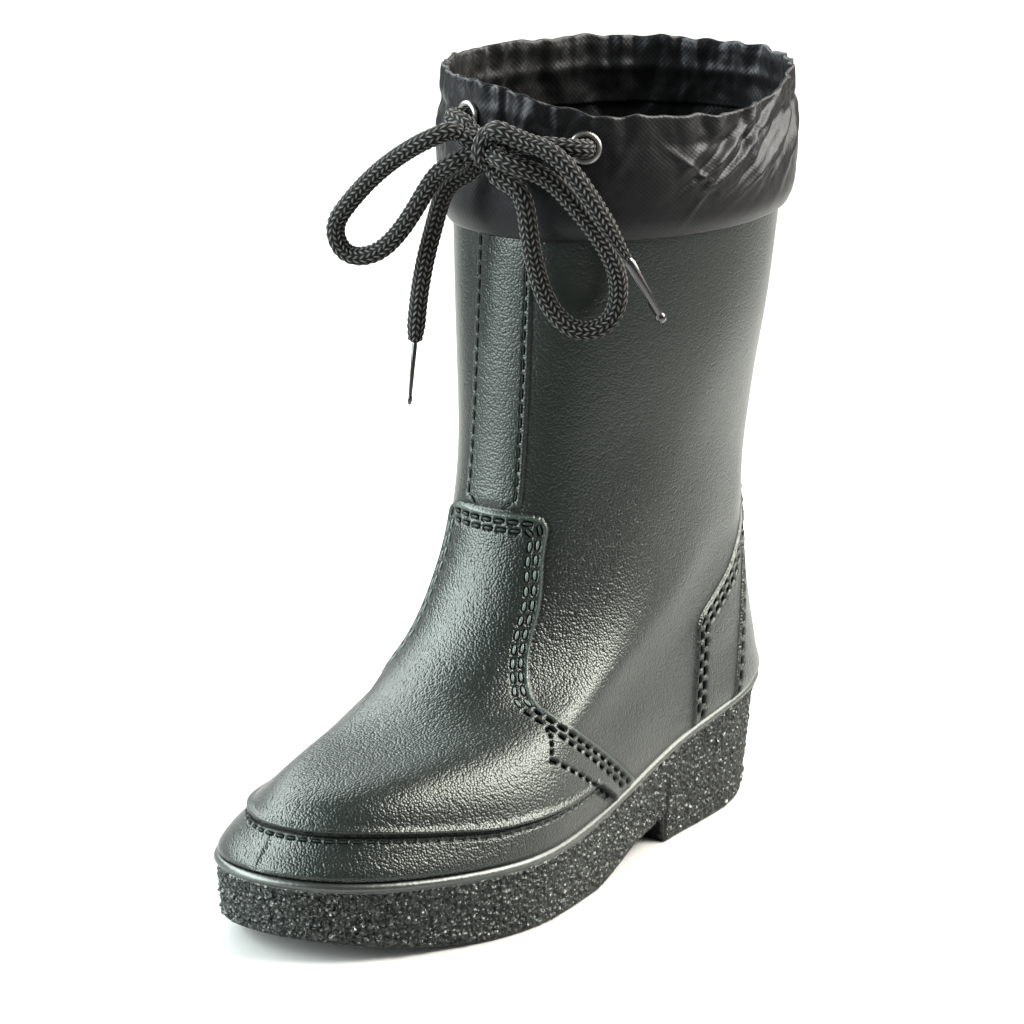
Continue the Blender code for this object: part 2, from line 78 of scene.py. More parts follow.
# Sections of the upper, from the sole to the collar
WIDTH_SHARES = (0.0, 0.15, 0.32, 0.5, 0.7, 0.87, 1.0)
Section = namedtuple("Section", "name front_x front_z back_x back_z sag widths curve inner")
UPPER = [
    Section("bulge", 97.5, 28.0, -94.5, 42.0, -3.0, (49, 39, 30.5, 31, 40.5, 43, 50), 0.95, 0.08),
    Section("toe edge", 92.0, 36.0, -93.5, 50.0, -2.5, (47, 38, 31, 30.5, 38.5, 40.5, 46), 0.7, 0.26),
    Section("toe top", 81.5, 41.2, -92.0, 58.0, -2.0, (44.5, 37, 31, 30, 36, 37, 42), 0.5, 0.3),
    Section("vamp", 64.0, 44.2, -90.5, 66.0, -0.5, (42.5, 35.5, 30.5, 30, 34, 34, 39), 0.4, 0.25),
    Section("instep", 46.0, 49.2, -89.5, 74.0, 0.0, (40.5, 34, 30, 30, 33, 32, 37), 0.35, 0.04),
    Section("bend", 31.0, 58.8, -89.0, 82.0, 0.0, (39, 33, 29.5, 30, 31.5, 30.5, 35), 0.3, 0.0),
    Section("throat", 20.0, 72.0, -89.0, 90.0, 0.0, (38.5, 32.5, 29.5, 29.5, 30.5, 30, 34), 0.2, 0.0),
    Section("ankle", 12.5, 88.0, -89.5, 100.0, 0.0, (38, 32, 29.5, 29.5, 30.5, 30.5, 33.5), 0.1, 0.0),
    Section("low shaft", 8.5, 107.5, -91.0, 112.0, 0.0, (38.5, 33, 30.5, 30.5, 31, 31, 34), 0.0, 0.0),
    Section("shaft", 6.5, 127.0, -93.0, 126.0, 0.0, (39, 35, 33, 33, 33, 33.5, 35.5), 0.0, 0.0),
    Section("calf", 5.0, 147.0, -96.0, 144.0, 0.0, (40, 37.5, 36, 36, 36, 36.5, 38), 0.0, 0.0),
    Section("collar", 3.3, 173.5, -99.2, 172.5, 0.0, (41, 40, 39, 39, 39, 39.5, 40.5), 0.0, 0.0),
]

# Edges of the moulded overlays, from the side (x, z) or from the front (y, z), with corner radii
VAMP_EDGE = [(130, 97.5, 0), (3.8, 97.5, 4), (10.0, 74.5, 40), (25.0, 50.2, 4), (-8.0, 25.9, 0)]
MOC_EDGE = [(2.5, 23.3, 0), (13.0, 30.2, 3), (32.0, 29.4, 60), (56.0, 28.8, 60), (86.0, 32.2, 40),
            (130, 33.2, 0)]
STRAP_EDGE = [(31.6, 40.8, 0), (14.0, 30.2, 30), (2.0, 22.4, 0)]
TACK_EDGE = [(28.6, 46.9, 0), (32.6, 41.4, 0)]
COUNTER_EDGE = [(-41.5, 32.0, 0), (-43.5, 45.0, 15), (-45.5, 59.5, 8), (-66.0, 69.5, 25),
                (-79.0, 80.0, 20), (-87.5, 95.0, 10), (-130, 106.0, 0)]
BACKSTAY_EDGE = [(-62.0, 34.6, 0), (-66.5, 45.0, 8), (-70.5, 55.0, 15), (-76.0, 68.0, 15),
                 (-84.0, 88.0, 0), (-130, 88.0, 0)]
HEEL_FOOT = [(-130, 36.0, 0), (-80, 30.0, 0)]
FRONT_STAY = [(-9.0, 99.0, 2), (-9.0, 175.0, 0), (8.6, 175.0, 0), (8.6, 99.0, 2)]
BACK_STAY = [(-7.0, 84.0, 0), (-7.0, 175.0, 0), (7.0, 175.0, 0), (7.0, 84.0, 0)]
VAMP_LIFT, STAY_LIFT, COUNTER_LIFT, BACKSTAY_LIFT = 1.1, 0.6, 0.7, 1.3
STAY_FROM, STRIP_TO = -25.0, -65.0      # x ahead of which the front stay lies, and the back strip behind
TOE_SEAM = -6.0           # y of the seam across the toe's band
SEAM_FROM = 80.0          # x from which that seam shows

# Stitch rows: the edge that each follows, how far inside it, the pitch and width of a stitch, and how
# deep its pocket is
Row = namedtuple("Row", "edge inside pitch width depth")
ROWS = [
    Row("vamp", 2.1, 3.9, 1.2, 1.0), Row("vamp", 4.4, 3.9, 1.2, 1.0), Row("moc", -1.7, 3.4, 0.8, 0.6),
    Row("strap", 0.0, 3.9, 1.2, 1.0), Row("tack", 0.0, 2.4, 0.9, 1.0), Row("stay", 1.5, 3.8, 0.65, 0.7),
    Row("counter", 1.5, 3.9, 1.6, 1.0), Row("counter", 4.0, 3.9, 1.6, 1.0),
    Row("backstay", 1.5, 3.9, 1.6, 1.0), Row("strip", 1.4, 3.8, 0.7, 1.0),
]
POCKET_DEPTH = 0.55       # of a row whose depth is 1
PROUD_FROM, SHADED_FROM = 53.0, 92.0      # heights over which the vamp's stitches stand out, and over which they are mostly painted in shade
PROUD_SINK, DEEP_SINK = 0.12, 0.62      # how far a stitch lies under the surface

# Underside of the sole
ARCH_LINE = [(-32.0, 7.5, 0), (-14.0, 5.2, 30), (3.0, 1.2, 30), (16.0, -1.0, 0)]
TOE_LINE = [(52.0, -0.6, 0), (78.0, 2.0, 60), (130, 11.0, 0)]
HEEL_LINE = [(-130, 4.0, 0), (-86.0, -0.4, 0)]
GROOVE_WIDTH, GROOVE_DEPTH, TREAD_RIM = 3.2, 2.6, 8.5
GROOVES = (-78.0, -64.0, -50.0, 22.0, 34.0, 46.0, 58.0, 70.0, 82.0)

# Cuff: its foot and rim over the collar, and how far outside the collar the cloth lies by share
# of its height
CUFF_FOOT = -3.5
Rim = namedtuple("Rim", "angle height")
RIM = [Rim(-180, 33.0), Rim(-90, 35.0), Rim(-45, 36.5), Rim(-15, 36.5), Rim(0, 35.8), Rim(15, 33.0),
       Rim(35, 29.8), Rim(60, 28.3), Rim(88, 27.0), Rim(108, 29.0), Rim(126, 32.0), Rim(150, 33.0),
       Rim(180, 33.0)]
Ring = namedtuple("Ring", "share out")
CUFF = [Ring(0.0, 1.6), Ring(0.07, 2.8), Ring(0.25, 3.8), Ring(0.6, 3.8), Ring(0.82, 2.9),
        Ring(1.0, 2.6)]
CUFF_THICK = 1.2
Eyelet = namedtuple("Eyelet", "name angle height")
EYELETS = [Eyelet("eyelet_left", -13.6, 26.8), Eyelet("eyelet_right", 30.5, 21.6)]
EYELET_HOLE, EYELET_BARREL, EYELET_FLANGE, EYELET_RISE = 2.75, 3.3, 4.4, 1.15
# Folds pressed into the cuff: angle from the front, height, lean, length, width and rise
Fold = namedtuple("Fold", "angle height lean length width rise")
FOLDS = [
    Fold(-58, 21, -0.3, 9, 3.0, 0.9), Fold(-40, 23, 0.3, 8, 2.6, 0.9), Fold(-27, 23, -0.3, 7, 2.2, 0.8),
    Fold(-3, 25, 0.2, 5, 1.5, 1.0), Fold(3, 25, -0.2, 5, 1.3, -0.9), Fold(9, 24, 0.3, 5, 1.5, 1.1),
    Fold(15, 23, -0.3, 5, 1.3, -0.9), Fold(20, 22, 0.3, 5, 1.5, 0.9), Fold(44, 20, 0.6, 6, 2.0, 0.5),
    Fold(66, 14, -1.2, 5, 1.3, 0.7), Fold(71, 9, 0.8, 6, 1.2, 0.8), Fold(70, 19, 1.2, 6, 1.5, 0.6),
    Fold(76, 18, 1.4, 7, 1.4, -0.8), Fold(82, 19, 1.5, 8, 1.4, 1.5), Fold(88, 18, 1.6, 8, 1.3, -1.3),
    Fold(94, 20, 1.6, 8, 1.4, 1.6), Fold(100, 17, 1.7, 8, 1.4, -1.3), Fold(106, 16, 1.7, 8, 1.7, 1.4),
    Fold(113, 15, 1.5, 8, 1.9, -1.0), Fold(121, 16, 0.9, 9, 2.4, 1.2),
    Fold(140, 18, 0.3, 10, 3.0, 1.0), Fold(158, 20, 0.2, 9, 3.0, 1.0), Fold(176, 18, -0.3, 10, 3.4, 1.1),
    Fold(193, 20, 0.4, 9, 3.0, 0.9), Fold(212, 18, -0.5, 10, 3.4, 1.2), Fold(229, 20, 0.3, 9, 3.0, 1.0),
    Fold(247, 18, 0.5, 10, 3.4, 1.1), Fold(263, 20, -0.2, 9, 3.0, 1.0), Fold(281, 19, 0.3, 9, 3.0, 1.1),
]

# The drawcord: its knot, and its routes as chosen in the solids
CORD_DIAMETER = 5.0
KNOT_AT = Vector((15.8, 2.3, 196.0))
KNOT_RADIUS = 5.6
Strand = namedtuple("Strand", "name leave route back")
STRANDS = [
    Strand("cord_loop_left", (4.2, -5.6, 3.4),
           [(22.3, -6.5, 199.0), (25.7, -15.2, 193.9), (27.7, -24.2, 186.6), (29.2, -31.4, 178.6),
            (29.3, -35.2, 171.2), (27.6, -33.0, 165.6), (25.6, -26.6, 165.6), (23.8, -20.3, 170.5),
            (21.7, -13.5, 180.8), (20.0, -8.3, 188.6)], (3.4, -5.6, -4.0)),
    Strand("cord_loop_right", (-0.8, 3.0, -6.0),
           [(13.8, 10.4, 186.0), (12.2, 14.3, 174.0), (10.5, 15.9, 162.5), (8.0, 19.2, 153.2),
            (4.2, 24.9, 148.4), (0.0, 30.0, 150.3), (-2.0, 32.4, 158.8), (2.0, 31.0, 170.7),
            (8.3, 26.0, 181.8), (14.4, 18.5, 190.4)], (2.8, 6.6, -1.8)),
    Strand("cord_end_left", (-2.4, -4.0, -6.0),
           [(12.9, -9.6, 184.4), (13.0, -14.9, 174.3), (14.2, -17.4, 163.5), (15.5, -18.7, 153.0),
            (16.6, -19.2, 141.5)], None),
    Strand("cord_end_right", (2.6, 5.4, 4.6),
           [(17.2, 12.7, 199.8), (14.4, 21.4, 196.8), (10.9, 28.6, 189.3), (7.2, 34.3, 178.8),
            (2.0, 38.3, 168.2)], None),
]
Run = namedtuple("Run", "name eyelet leave")
RUNS = [Run("cord_run_left", 0, (-2.0, -6.0, 3.6)), Run("cord_run_right", 1, (-3.0, 6.0, 0.4))]
RUN_RISE = 4.3
Tip = namedtuple("Tip", "name cord far radius end_radius")
TIPS = [Tip("aglet_left", "cord_end_left", (18.4, -19.8, 124.8), 0.7, 0.5),
        Tip("aglet_right", "cord_end_right", (-7.5, 42.6, 150.8), 1.5, 1.2)]


class RubberSettings(bpy.types.PropertyGroup):
    colour: FloatVectorProperty(
        name="Colour", description="Base colour of the moulded rubber", subtype="COLOR", size=3,
        min=0, max=1, default=(0.0062, 0.0086, 0.0076))
    grain: FloatProperty(
        name="Grain", description="Size of one pebble of the leather grain", subtype="DISTANCE",
        unit="LENGTH", default=0.00065, min=0.0002)
    columns: IntProperty(
        name="Columns", description="Faces round the upper before the seams are refined", default=252)
    rows: IntProperty(
        name="Rows", description="Faces up the upper before the seams are refined", default=108)


class SoleSettings(bpy.types.PropertyGroup):
    colour: FloatVectorProperty(
        name="Colour", description="Base colour of the crepe sole", subtype="COLOR", size=3,
        min=0, max=1, default=(0.006, 0.0074, 0.0068))
    pebble: FloatProperty(
        name="Pebble", description="Size of one pebble of the crepe", subtype="DISTANCE",
        unit="LENGTH", default=0.0021, min=0.0003)
    relief: FloatProperty(
        name="Relief", description="Height of the pebbles", subtype="DISTANCE", unit="LENGTH",
        default=0.0016, min=0)


class CuffSettings(bpy.types.PropertyGroup):
    colour: FloatVectorProperty(
        name="Colour", description="Colour of the coated cloth", subtype="COLOR", size=3, min=0, max=1,
        default=(0.0032, 0.0032, 0.0034))
    thread: FloatProperty(
        name="Thread", description="Pitch of the weave", subtype="DISTANCE", unit="LENGTH",
        default=0.00075, min=0.0001)


class CordSettings(bpy.types.PropertyGroup):
    colour: FloatVectorProperty(
        name="Colour", description="Colour of the yarn where it catches the light", subtype="COLOR",
        size=3, min=0, max=1, default=(0.19, 0.19, 0.187))
    plaits: IntProperty(name="Plaits", description="Columns of yarn round the cord", default=12, min=4)
    pitch: FloatProperty(
        name="Pitch", description="Length of one plait along the cord", subtype="DISTANCE",
        unit="LENGTH", default=0.00175, min=0.0003)


class StageSettings(bpy.types.PropertyGroup):
    lens: FloatProperty(
        name="Lens", description="Focal length that frames the boot", unit="CAMERA", default=186.9)
    distance: FloatProperty(
        name="Distance", description="From the camera to the middle of the boot", subtype="DISTANCE",
        unit="LENGTH", default=1.4)
    turn: FloatProperty(
        name="Turn", description="Angle of the view from the toe to the outer side", subtype="ANGLE",
        default=math.radians(36.0))
    rise: FloatProperty(
        name="Rise", description="Angle of the view over the floor", subtype="ANGLE",
        default=math.radians(15.3))


class Value:
    """A number in a node tree. Arithmetic on it adds Math nodes."""

    def __init__(self, tree, socket):
        self.tree, self.socket = tree, socket

    @staticmethod
    def math(tree, operation, *items):
        made = tree.nodes.new("ShaderNodeMath")
        made.operation = operation
        for place, item in zip(made.inputs, items):
            feed(tree, place, item)
        return Value(tree, made.outputs[0])

    def __add__(self, other):
        return self.math(self.tree, "ADD", self, other)

    def __sub__(self, other):
        return self.math(self.tree, "SUBTRACT", self, other)

    def __rsub__(self, other):
        return self.math(self.tree, "SUBTRACT", other, self)

    def __mul__(self, other):
        return self.math(self.tree, "MULTIPLY", self, other)

    def __pow__(self, other):
        return self.math(self.tree, "POWER", self, other)

    __radd__, __rmul__ = __add__, __mul__

    def sine(self):
        return self.math(self.tree, "SINE", self)


def feed(tree, place, item):
    """Sets an input socket to a number or colour, or links it."""
    if isinstance(item, Value):
        tree.links.new(item.socket, place)
    else:
        place.default_value = item


class Finish:
    """A new material, with its nodes added by name."""

    def __init__(self, name, **sockets):
        self.material = bpy.data.materials.new(name)
        self.material.use_nodes = True
        self.tree = self.material.node_tree
        self.shader = self.tree.nodes["Principled BSDF"]
        self.set({key.replace("_", " ").title(): item for key, item in sockets.items()})

    def set(self, sockets):
        for name, item in sockets.items():
            feed(self.tree, self.shader.inputs[name], item)

    def node(self, kind, settings, sockets, output=0):
        made = self.tree.nodes.new("ShaderNode" + kind)
        for name, item in settings.items():
            setattr(made, name, item)
        for name, item in sockets.items():
            feed(self.tree, made.inputs[name], item)
        return Value(self.tree, made.outputs[output])

    def place(self):
        return self.node("TexCoord", {}, {}, "Object")

    def axes(self, vector):
        """The three numbers of a vector."""
        split = self.node("SeparateXYZ", {}, {0: vector}).socket.node
        return [Value(self.tree, socket) for socket in split.outputs]

    def height(self, low, high):
        """From 0 below one height to 1 above the other."""
        sockets = {"Value": self.axes(self.place())[2], "From Min": low, "From Max": high}
        return self.node("MapRange", {"interpolation_type": "SMOOTHSTEP"}, sockets)

    def mark(self, name):
        """A number that the mesh keeps at each point."""
        return self.node("Attribute", {"attribute_name": name}, {}, "Fac")

    def noise(self, size, detail=2.0):
        sockets = {"Vector": self.place(), "Scale": 1 / size, "Detail": detail}
        return self.node("TexNoise", {}, sockets, "Fac")

    def cells(self, size):
        return self.node("TexVoronoi", {}, {"Vector": self.place(), "Scale": 1 / size}, "Distance")

    def mix(self, factor, first, second):
        """From one colour to another. The Mix node's colours are its sockets 6 and 7."""
        return self.node("Mix", {"data_type": "RGBA"}, {0: factor, 6: first, 7: second}, 2)

    def cover(self, factor, colour):
        """Lays a matte colour over the shader."""
        matte = self.node("BsdfPrincipled", {}, {"Base Color": colour, "Roughness": 1.0,
                                                 "Specular IOR Level": 0.0})
        under = Value(self.tree, self.shader.outputs[0])
        mixed = self.node("MixShader", {}, {0: factor, 1: under, 2: matte})
        feed(self.tree, self.tree.nodes["Material Output"].inputs["Surface"], mixed)

    def bump(self, height, depth):
        self.set({"Normal": self.node("Bump", {}, {"Height": height, "Distance": depth}, "Normal")})


RUBBER_TINT = (0.93, 1.0, 0.97, 1)      # the slight green of the rubber's shine


def shade(colour, amount):
    """A colour made lighter or darker, as a socket takes it."""
    return (*(channel * amount for channel in colour), 1)


def rubber_finish(settings):
    """Dark moulded rubber with a fine leather grain, a painted highlight on its rims and painted shade in
    its grooves.
    """
    made = Finish("green_rubber")
    groove, rim = made.mark("groove"), made.mark("rim")
    cloud = made.noise(0.05, 3.0)
    base = made.mix(cloud, shade(settings.colour, 0.85), shade(settings.colour, 1.15))
    # Painted highlight: along the vamp's rim the rubber's colour is made seven times lighter.
    made.set({"Base Color": made.mix(rim, base, shade(settings.colour, 7.0)),
              "Roughness": 0.26 + made.noise(0.012) * 0.08, "Specular Tint": RUBBER_TINT})
    pebbles = 1 - made.cells(settings.grain) ** 2
    wrinkles = made.noise(settings.grain * 3, 3.0)
    quiet = 1 - made.height(0.085, 0.12) * 0.4
    made.bump((pebbles + wrinkles * 0.8) * (1 - groove * 0.8) * (1 - rim * 0.7) * quiet, 0.00015)
    # Painted shade: a matte near-black laid over the grooves, the stitch pockets and the line under each
    # rim.
    made.cover(groove, shade(settings.colour, 0.1))
    return made.material


def stitch_finish(settings):
    """Moulded stitches with a fine twist: painted a lit grey where they stand out, and painted black with
    shade where they lie deep.
    """
    made = Finish("stitch_rubber")
    cloud = made.noise(0.0015)
    # Painted highlight: every stitch is coloured a lit grey, 8 to 13 times the rubber's colour.
    base = made.mix(cloud, shade(settings.colour, 8.0), shade(settings.colour, 13.0))
    made.set({"Base Color": base, "Roughness": 0.3 + cloud * 0.15})
    made.bump(made.noise(0.0005), 0.00008)
    # Painted shade: a matte near-black over the stitches that the mesh marks as shaded.
    made.cover(1 - made.mark("painted_lit"), shade(settings.colour, 0.15))
    return made.material


def crepe_finish(settings):
    """Pebbled crepe with painted shade in its pits, and small shiny faces."""
    made = Finish("crepe_rubber")
    pit, crepe = made.mark("pit"), made.mark("crepe")
    # Painted shade in the pits: the colour darkened there, and a matte near-black laid over it below.
    base = made.mix(pit, shade(settings.colour, 1.0), shade(settings.colour, 0.2))
    made.set({"Base Color": base, "Specular Tint": RUBBER_TINT, "Specular IOR Level": 1.0,
              "Roughness": 0.34 - crepe * 0.12 + made.noise(0.002) * 0.08 + pit * 0.3})
    fine = made.cells(settings.pebble * 0.6) + made.noise(settings.pebble, 2.0) * 0.5
    made.bump(fine * (crepe * 0.95 + 0.05), 0.001)
    made.cover(pit * 0.75, shade(settings.colour, 0.15))
    return made.material


def cloth_finish(settings):
    """Coated nylon, with a plain weave that follows the cloth."""
    made = Finish("cuff_nylon", sheen_weight=0.02, sheen_roughness=0.4)
    made.set({"Specular IOR Level": 0.24, "Specular Tint": (0.9, 0.92, 1.0, 1)})
    across, along, _ = (axis * (math.pi / settings.thread)
                        for axis in made.axes(made.node("UVMap", {}, {})))
    weave = across.sine() * along.sine() * 0.5 + 0.5
    slub = made.noise(0.004, 3.0)
    made.set({"Base Color": made.mix(weave * 0.7 + slub * 0.3, shade(settings.colour, 0.6),
                                     shade(settings.colour, 1.7)),
              "Roughness": 0.36 + slub * 0.12})
    made.bump(weave * 0.7 + made.noise(0.0008) * 0.3, 0.00005)
    return made.material


def braid_finish(settings):
    """Black braid with a painted highlight on the crests of its yarn."""
    made = Finish("cord_braid")
    crest = made.mark("crest")
    fuzz = made.noise(0.0006, 3.0)
    crest_highlight = crest ** 2.2 * (0.2 + fuzz * 1.3)
    # Painted highlight: the yarn is lightened to grey on its crests and left near black elsewhere.
    base = made.mix(crest_highlight, shade(settings.colour, 0.01), shade(settings.colour, 1.0))
    made.set({"Base Color": base, "Roughness": 0.6 + fuzz * 0.2, "Specular IOR Level": 0.12})
    made.bump(fuzz, 0.00008)
    return made.material


def nickel_finish():
    """Darkened nickel plate with fine scratches."""
    made = Finish("eyelet_nickel", metallic=1.0)
    wear = made.noise(0.0015, 3.0)
    made.set({"Base Color": made.mix(wear, (0.2, 0.197, 0.19, 1), (0.34, 0.335, 0.325, 1)),
              "Roughness": 0.26 + wear * 0.16})
    made.bump(made.noise(0.0004), 0.00002)
    return made.material


def tip_finish():
    """Glossy black tips with slight flow marks."""
    made = Finish("aglet_plastic", coat_weight=1.0, coat_roughness=0.06)
    flow = made.noise(0.002)
    made.set({"Base Color": made.mix(flow, (0.004, 0.004, 0.004, 1), (0.012, 0.012, 0.012, 1)),
              "Roughness": 0.12 + flow * 0.1})
    made.bump(flow, 0.00003)
    return made.material


def knit_finish(name, colour):
    """Fine napped textile of the lining and the insole."""
    made = Finish(name, sheen_weight=0.3)
    nap = made.noise(0.0009, 4.0)
    made.set({"Base Color": made.mix(nap, shade(colour, 0.6), shade(colour, 1.3)),
              "Roughness": 0.86 + nap * 0.1})
    made.bump(nap + made.cells(0.0013) * 0.6, 0.0002)
    return made.material


def floor_finish():
    """White paper behind the boot, with painted shade greying it in front of the boot and to the sides."""
    made = Finish("pale_floor")
    x, y, _ = made.axes(made.place())
    ahead = x * 0.81 + y * 0.59
    aside = Value.math(made.tree, "ABSOLUTE", y * 0.81 - x * 0.59) + ahead * 0.1
    far = Value.math(made.tree, "MAXIMUM", (ahead - 0.1) * 0.7, aside - 0.16)
    floor_shade = made.node("MapRange", {"interpolation_type": "SMOOTHERSTEP"}, {"Value": far, "From Max": 0.3})
    # Painted shade: the floor out of view is greyed so that it casts less light onto the boot.
    made.set({"Base Color": made.mix(floor_shade, (0.48, 0.48, 0.48, 1), (0.09, 0.09, 0.09, 1)),
              "Roughness": 0.55 + made.noise(0.4) * 0.1})
    return made.material


def spline_basis(knots, at):
    """Weights that carry values at the knots to a natural cubic spline at the given places."""
    knots = np.asarray(knots, float)
    at = np.clip(np.asarray(at, float), knots[0], knots[-1])
    step, count = np.diff(knots), len(knots)
    bend, pull = np.zeros((count, count)), np.zeros((count, count))
    bend[0, 0] = bend[-1, -1] = 1.0
    for i in range(1, count - 1):
        bend[i, i - 1:i + 2] = step[i - 1] / 6, (step[i - 1] + step[i]) / 3, step[i] / 6
        pull[i, i - 1:i + 2] = 1 / step[i - 1], -1 / step[i - 1] - 1 / step[i], 1 / step[i]
    curve = np.linalg.solve(bend, pull)
    cell = np.clip(np.searchsorted(knots, at, side="right") - 1, 0, count - 2)
    h = step[cell]
    b = (at - knots[cell]) / h
    a = 1 - b
    own = np.eye(count)
    return (a[:, None] * own[cell] + b[:, None] * own[cell + 1]
            + ((a ** 3 - a) * h * h / 6)[:, None] * curve[cell]
            + ((b ** 3 - b) * h * h / 6)[:, None] * curve[cell + 1])


def unit(vectors):
    return vectors / np.maximum(np.linalg.norm(vectors, axis=-1, keepdims=True), 1e-9)


def smooth_step(low, high, at):
    share = np.clip((at - low) / (high - low), 0, 1)
    return share * share * (3 - 2 * share)


def run_along(points):
    """Distance along a line at each of its points."""
    return np.concatenate([[0], np.cumsum(np.linalg.norm(np.diff(points, axis=0), axis=1))])


def ridge(at, middle, width):
    """A soft ridge of height 1."""
    return np.exp(-((at - middle) / width) ** 2)


def sole_column(column, phi):
    """One column of the sole's table, at each angle."""
    shares = [station.share for station in SOLE]
    values = np.array([getattr(station, column) for station in SOLE])
    return spline_basis(shares, (1 + np.cos(phi)) / 2) @ values


def sole_outline(phi):
    share = (1 + np.cos(phi)) / 2
    return np.stack([HEEL_X + SOLE_LENGTH * share,
                     sole_column("half", phi) * np.sin(phi) + sole_column("middle", phi),
                     np.zeros_like(phi)], axis=1)


def plan_normals(outline, phi, reach=1e-3):
    """Outward normals in plan of a ring that runs from toe to outer side."""
    along = outline(phi + reach) - outline(phi - reach)
    return unit(np.stack([along[:, 1], -along[:, 0], np.zeros_like(phi)], axis=1))


def sole_ring(phi, inset, height):
    """The sole's outline drawn in by inset, at the heights given."""
    ring = sole_outline(phi) - plan_normals(sole_outline, phi) * np.reshape(inset, (-1, 1))
    ring[:, 2] = height
    return ring


def across_sole(ring, u, v):
    """Points between the inner and outer edges of a ring of the sole, and how far inside them each is."""
    outer, inner = ring(math.pi * u), ring(-math.pi * u)
    return inner + (outer - inner) * v[:, None], np.minimum(v, 1 - v) * (outer - inner)[:, 1]


def footbed_ring(phi, inset, over=0.0):
    """The footbed's outline, drawn in from the sole's and raised over the footbed."""
    return sole_ring(phi, inset, sole_column("footbed", phi) + over)


def upper_keys(phi):
    """The rings that the upper passes through, at each angle: feather edge, welt and sections."""
    share = (1 + np.cos(phi)) / 2
    front_x, front_z, back_x, back_z, sag, curve = (
        np.array([getattr(section, name) for section in UPPER], float)
        for name in ("front_x", "front_z", "back_x", "back_z", "sag", "curve"))
    widths = np.array([section.widths for section in UPPER], float)
    half = spline_basis(WIDTH_SHARES, share) @ widths.T
    inner = np.array([section.inner for section in UPPER])
    half *= 1 - inner * (smooth_step(0.5, 0.9, share) * (np.sin(phi) < 0))[:, None]
    sections = np.stack([
        back_x + (front_x - back_x) * share[:, None],
        half * np.sin(phi)[:, None] + curve * sole_column("middle", phi)[:, None],
        back_z + (front_z - back_z) * share[:, None] + sag * (np.sin(math.pi * share) ** 2)[:, None],
    ], axis=2)
    lip, feather = sole_column("lip", phi), LIP_WIDTH + 2 * GAP
    low = [sole_ring(phi, feather, lip - LEDGE_DROP + GAP), sole_ring(phi, feather, lip + 2 * GAP)]
    return np.concatenate([np.stack(low, axis=1), sections], axis=1)


TOP_LEVEL = len(UPPER) + 1


def level_weights(level):
    """Weights of the upper's rings at each level, straight below the welt."""
    weights = spline_basis(range(TOP_LEVEL + 1), level)
    low = level < 1
    weights[low] = 0
    weights[low, 0], weights[low, 1] = 1 - level[low], level[low]
    return weights


def upper_frame(phi, level, reach=2e-3):
    """Points on the upper and their outward normals."""
    def at(keys, levels):
        return np.einsum("nk,nkc->nc", level_weights(levels), keys)

    keys = upper_keys(phi)
    round_boot = at(upper_keys(phi + reach), level) - at(upper_keys(phi - reach), level)
    up_boot = at(keys, np.minimum(level + reach, TOP_LEVEL)) - at(keys, np.maximum(level - reach, 0))
    return at(keys, level), unit(np.cross(round_boot, up_boot))


def rounded(corners, steps=6):
    """A line through corners (a, b, radius), with an arc of steps at each round one."""
    points = []
    for i, (a, b, radius) in enumerate(corners):
        here = Vector((a, b))
        if not radius:
            points.append(here)
            continue
        before = Vector(corners[i - 1][:2]) - here
        after = Vector(corners[(i + 1) % len(corners)][:2]) - here
        half = before.angle(after) / 2
        reach = min(radius / math.tan(half), 0.45 * before.length, 0.45 * after.length)
        start, end = here + before.normalized() * reach, here + after.normalized() * reach
        for k in range(steps + 1):
            s = k / steps
            points.append(start * (1 - s) ** 2 + here * 2 * s * (1 - s) + end * s * s)
    return np.array([tuple(point) for point in points])


def line_distance(places, line):
    """Distance of flat places from an open line, and the direction away from it."""
    best = np.full(len(places), np.inf)
    away = np.zeros_like(places)
    for a, b in zip(line, line[1:]):
        side = b - a
        t = np.clip((places - a) @ side / (side @ side), 0, 1)
        off = places - a - t[:, None] * side
        length = np.linalg.norm(off, axis=1)
        closer = length < best
        best[closer], away[closer] = length[closer], off[closer]
    return best, unit(away)


def inside(places, outline):
    """Whether flat places lie inside a closed outline."""
    odd = np.zeros(len(places), bool)
    for a, b in zip(outline, np.roll(outline, -1, axis=0)):
        spans = (a[1] > places[:, 1]) != (b[1] > places[:, 1])
        rise = b[1] - a[1] if abs(b[1] - a[1]) > 1e-9 else 1e-9
        odd ^= spans & (places[:, 0] < a[0] + (b[0] - a[0]) * (places[:, 1] - a[1]) / rise)
    return odd


def surface_distance(points, normals, line, axes):
    """Distance over the surface from a line that is seen along the third axis."""
    length, away = line_distance(points[:, axes], line)
    away_3d = np.zeros_like(points)
    away_3d[:, axes] = away
    slant = np.linalg.norm(away_3d - normals * np.sum(away_3d * normals, axis=1, keepdims=True), axis=1)
    return length / np.maximum(slant, 0.3)


VAMP_CORNER = 4           # the middle of the arc at the vamp's top corner, as its line is rounded
FAR = 50.0                # distance given to places where an edge doesn't run


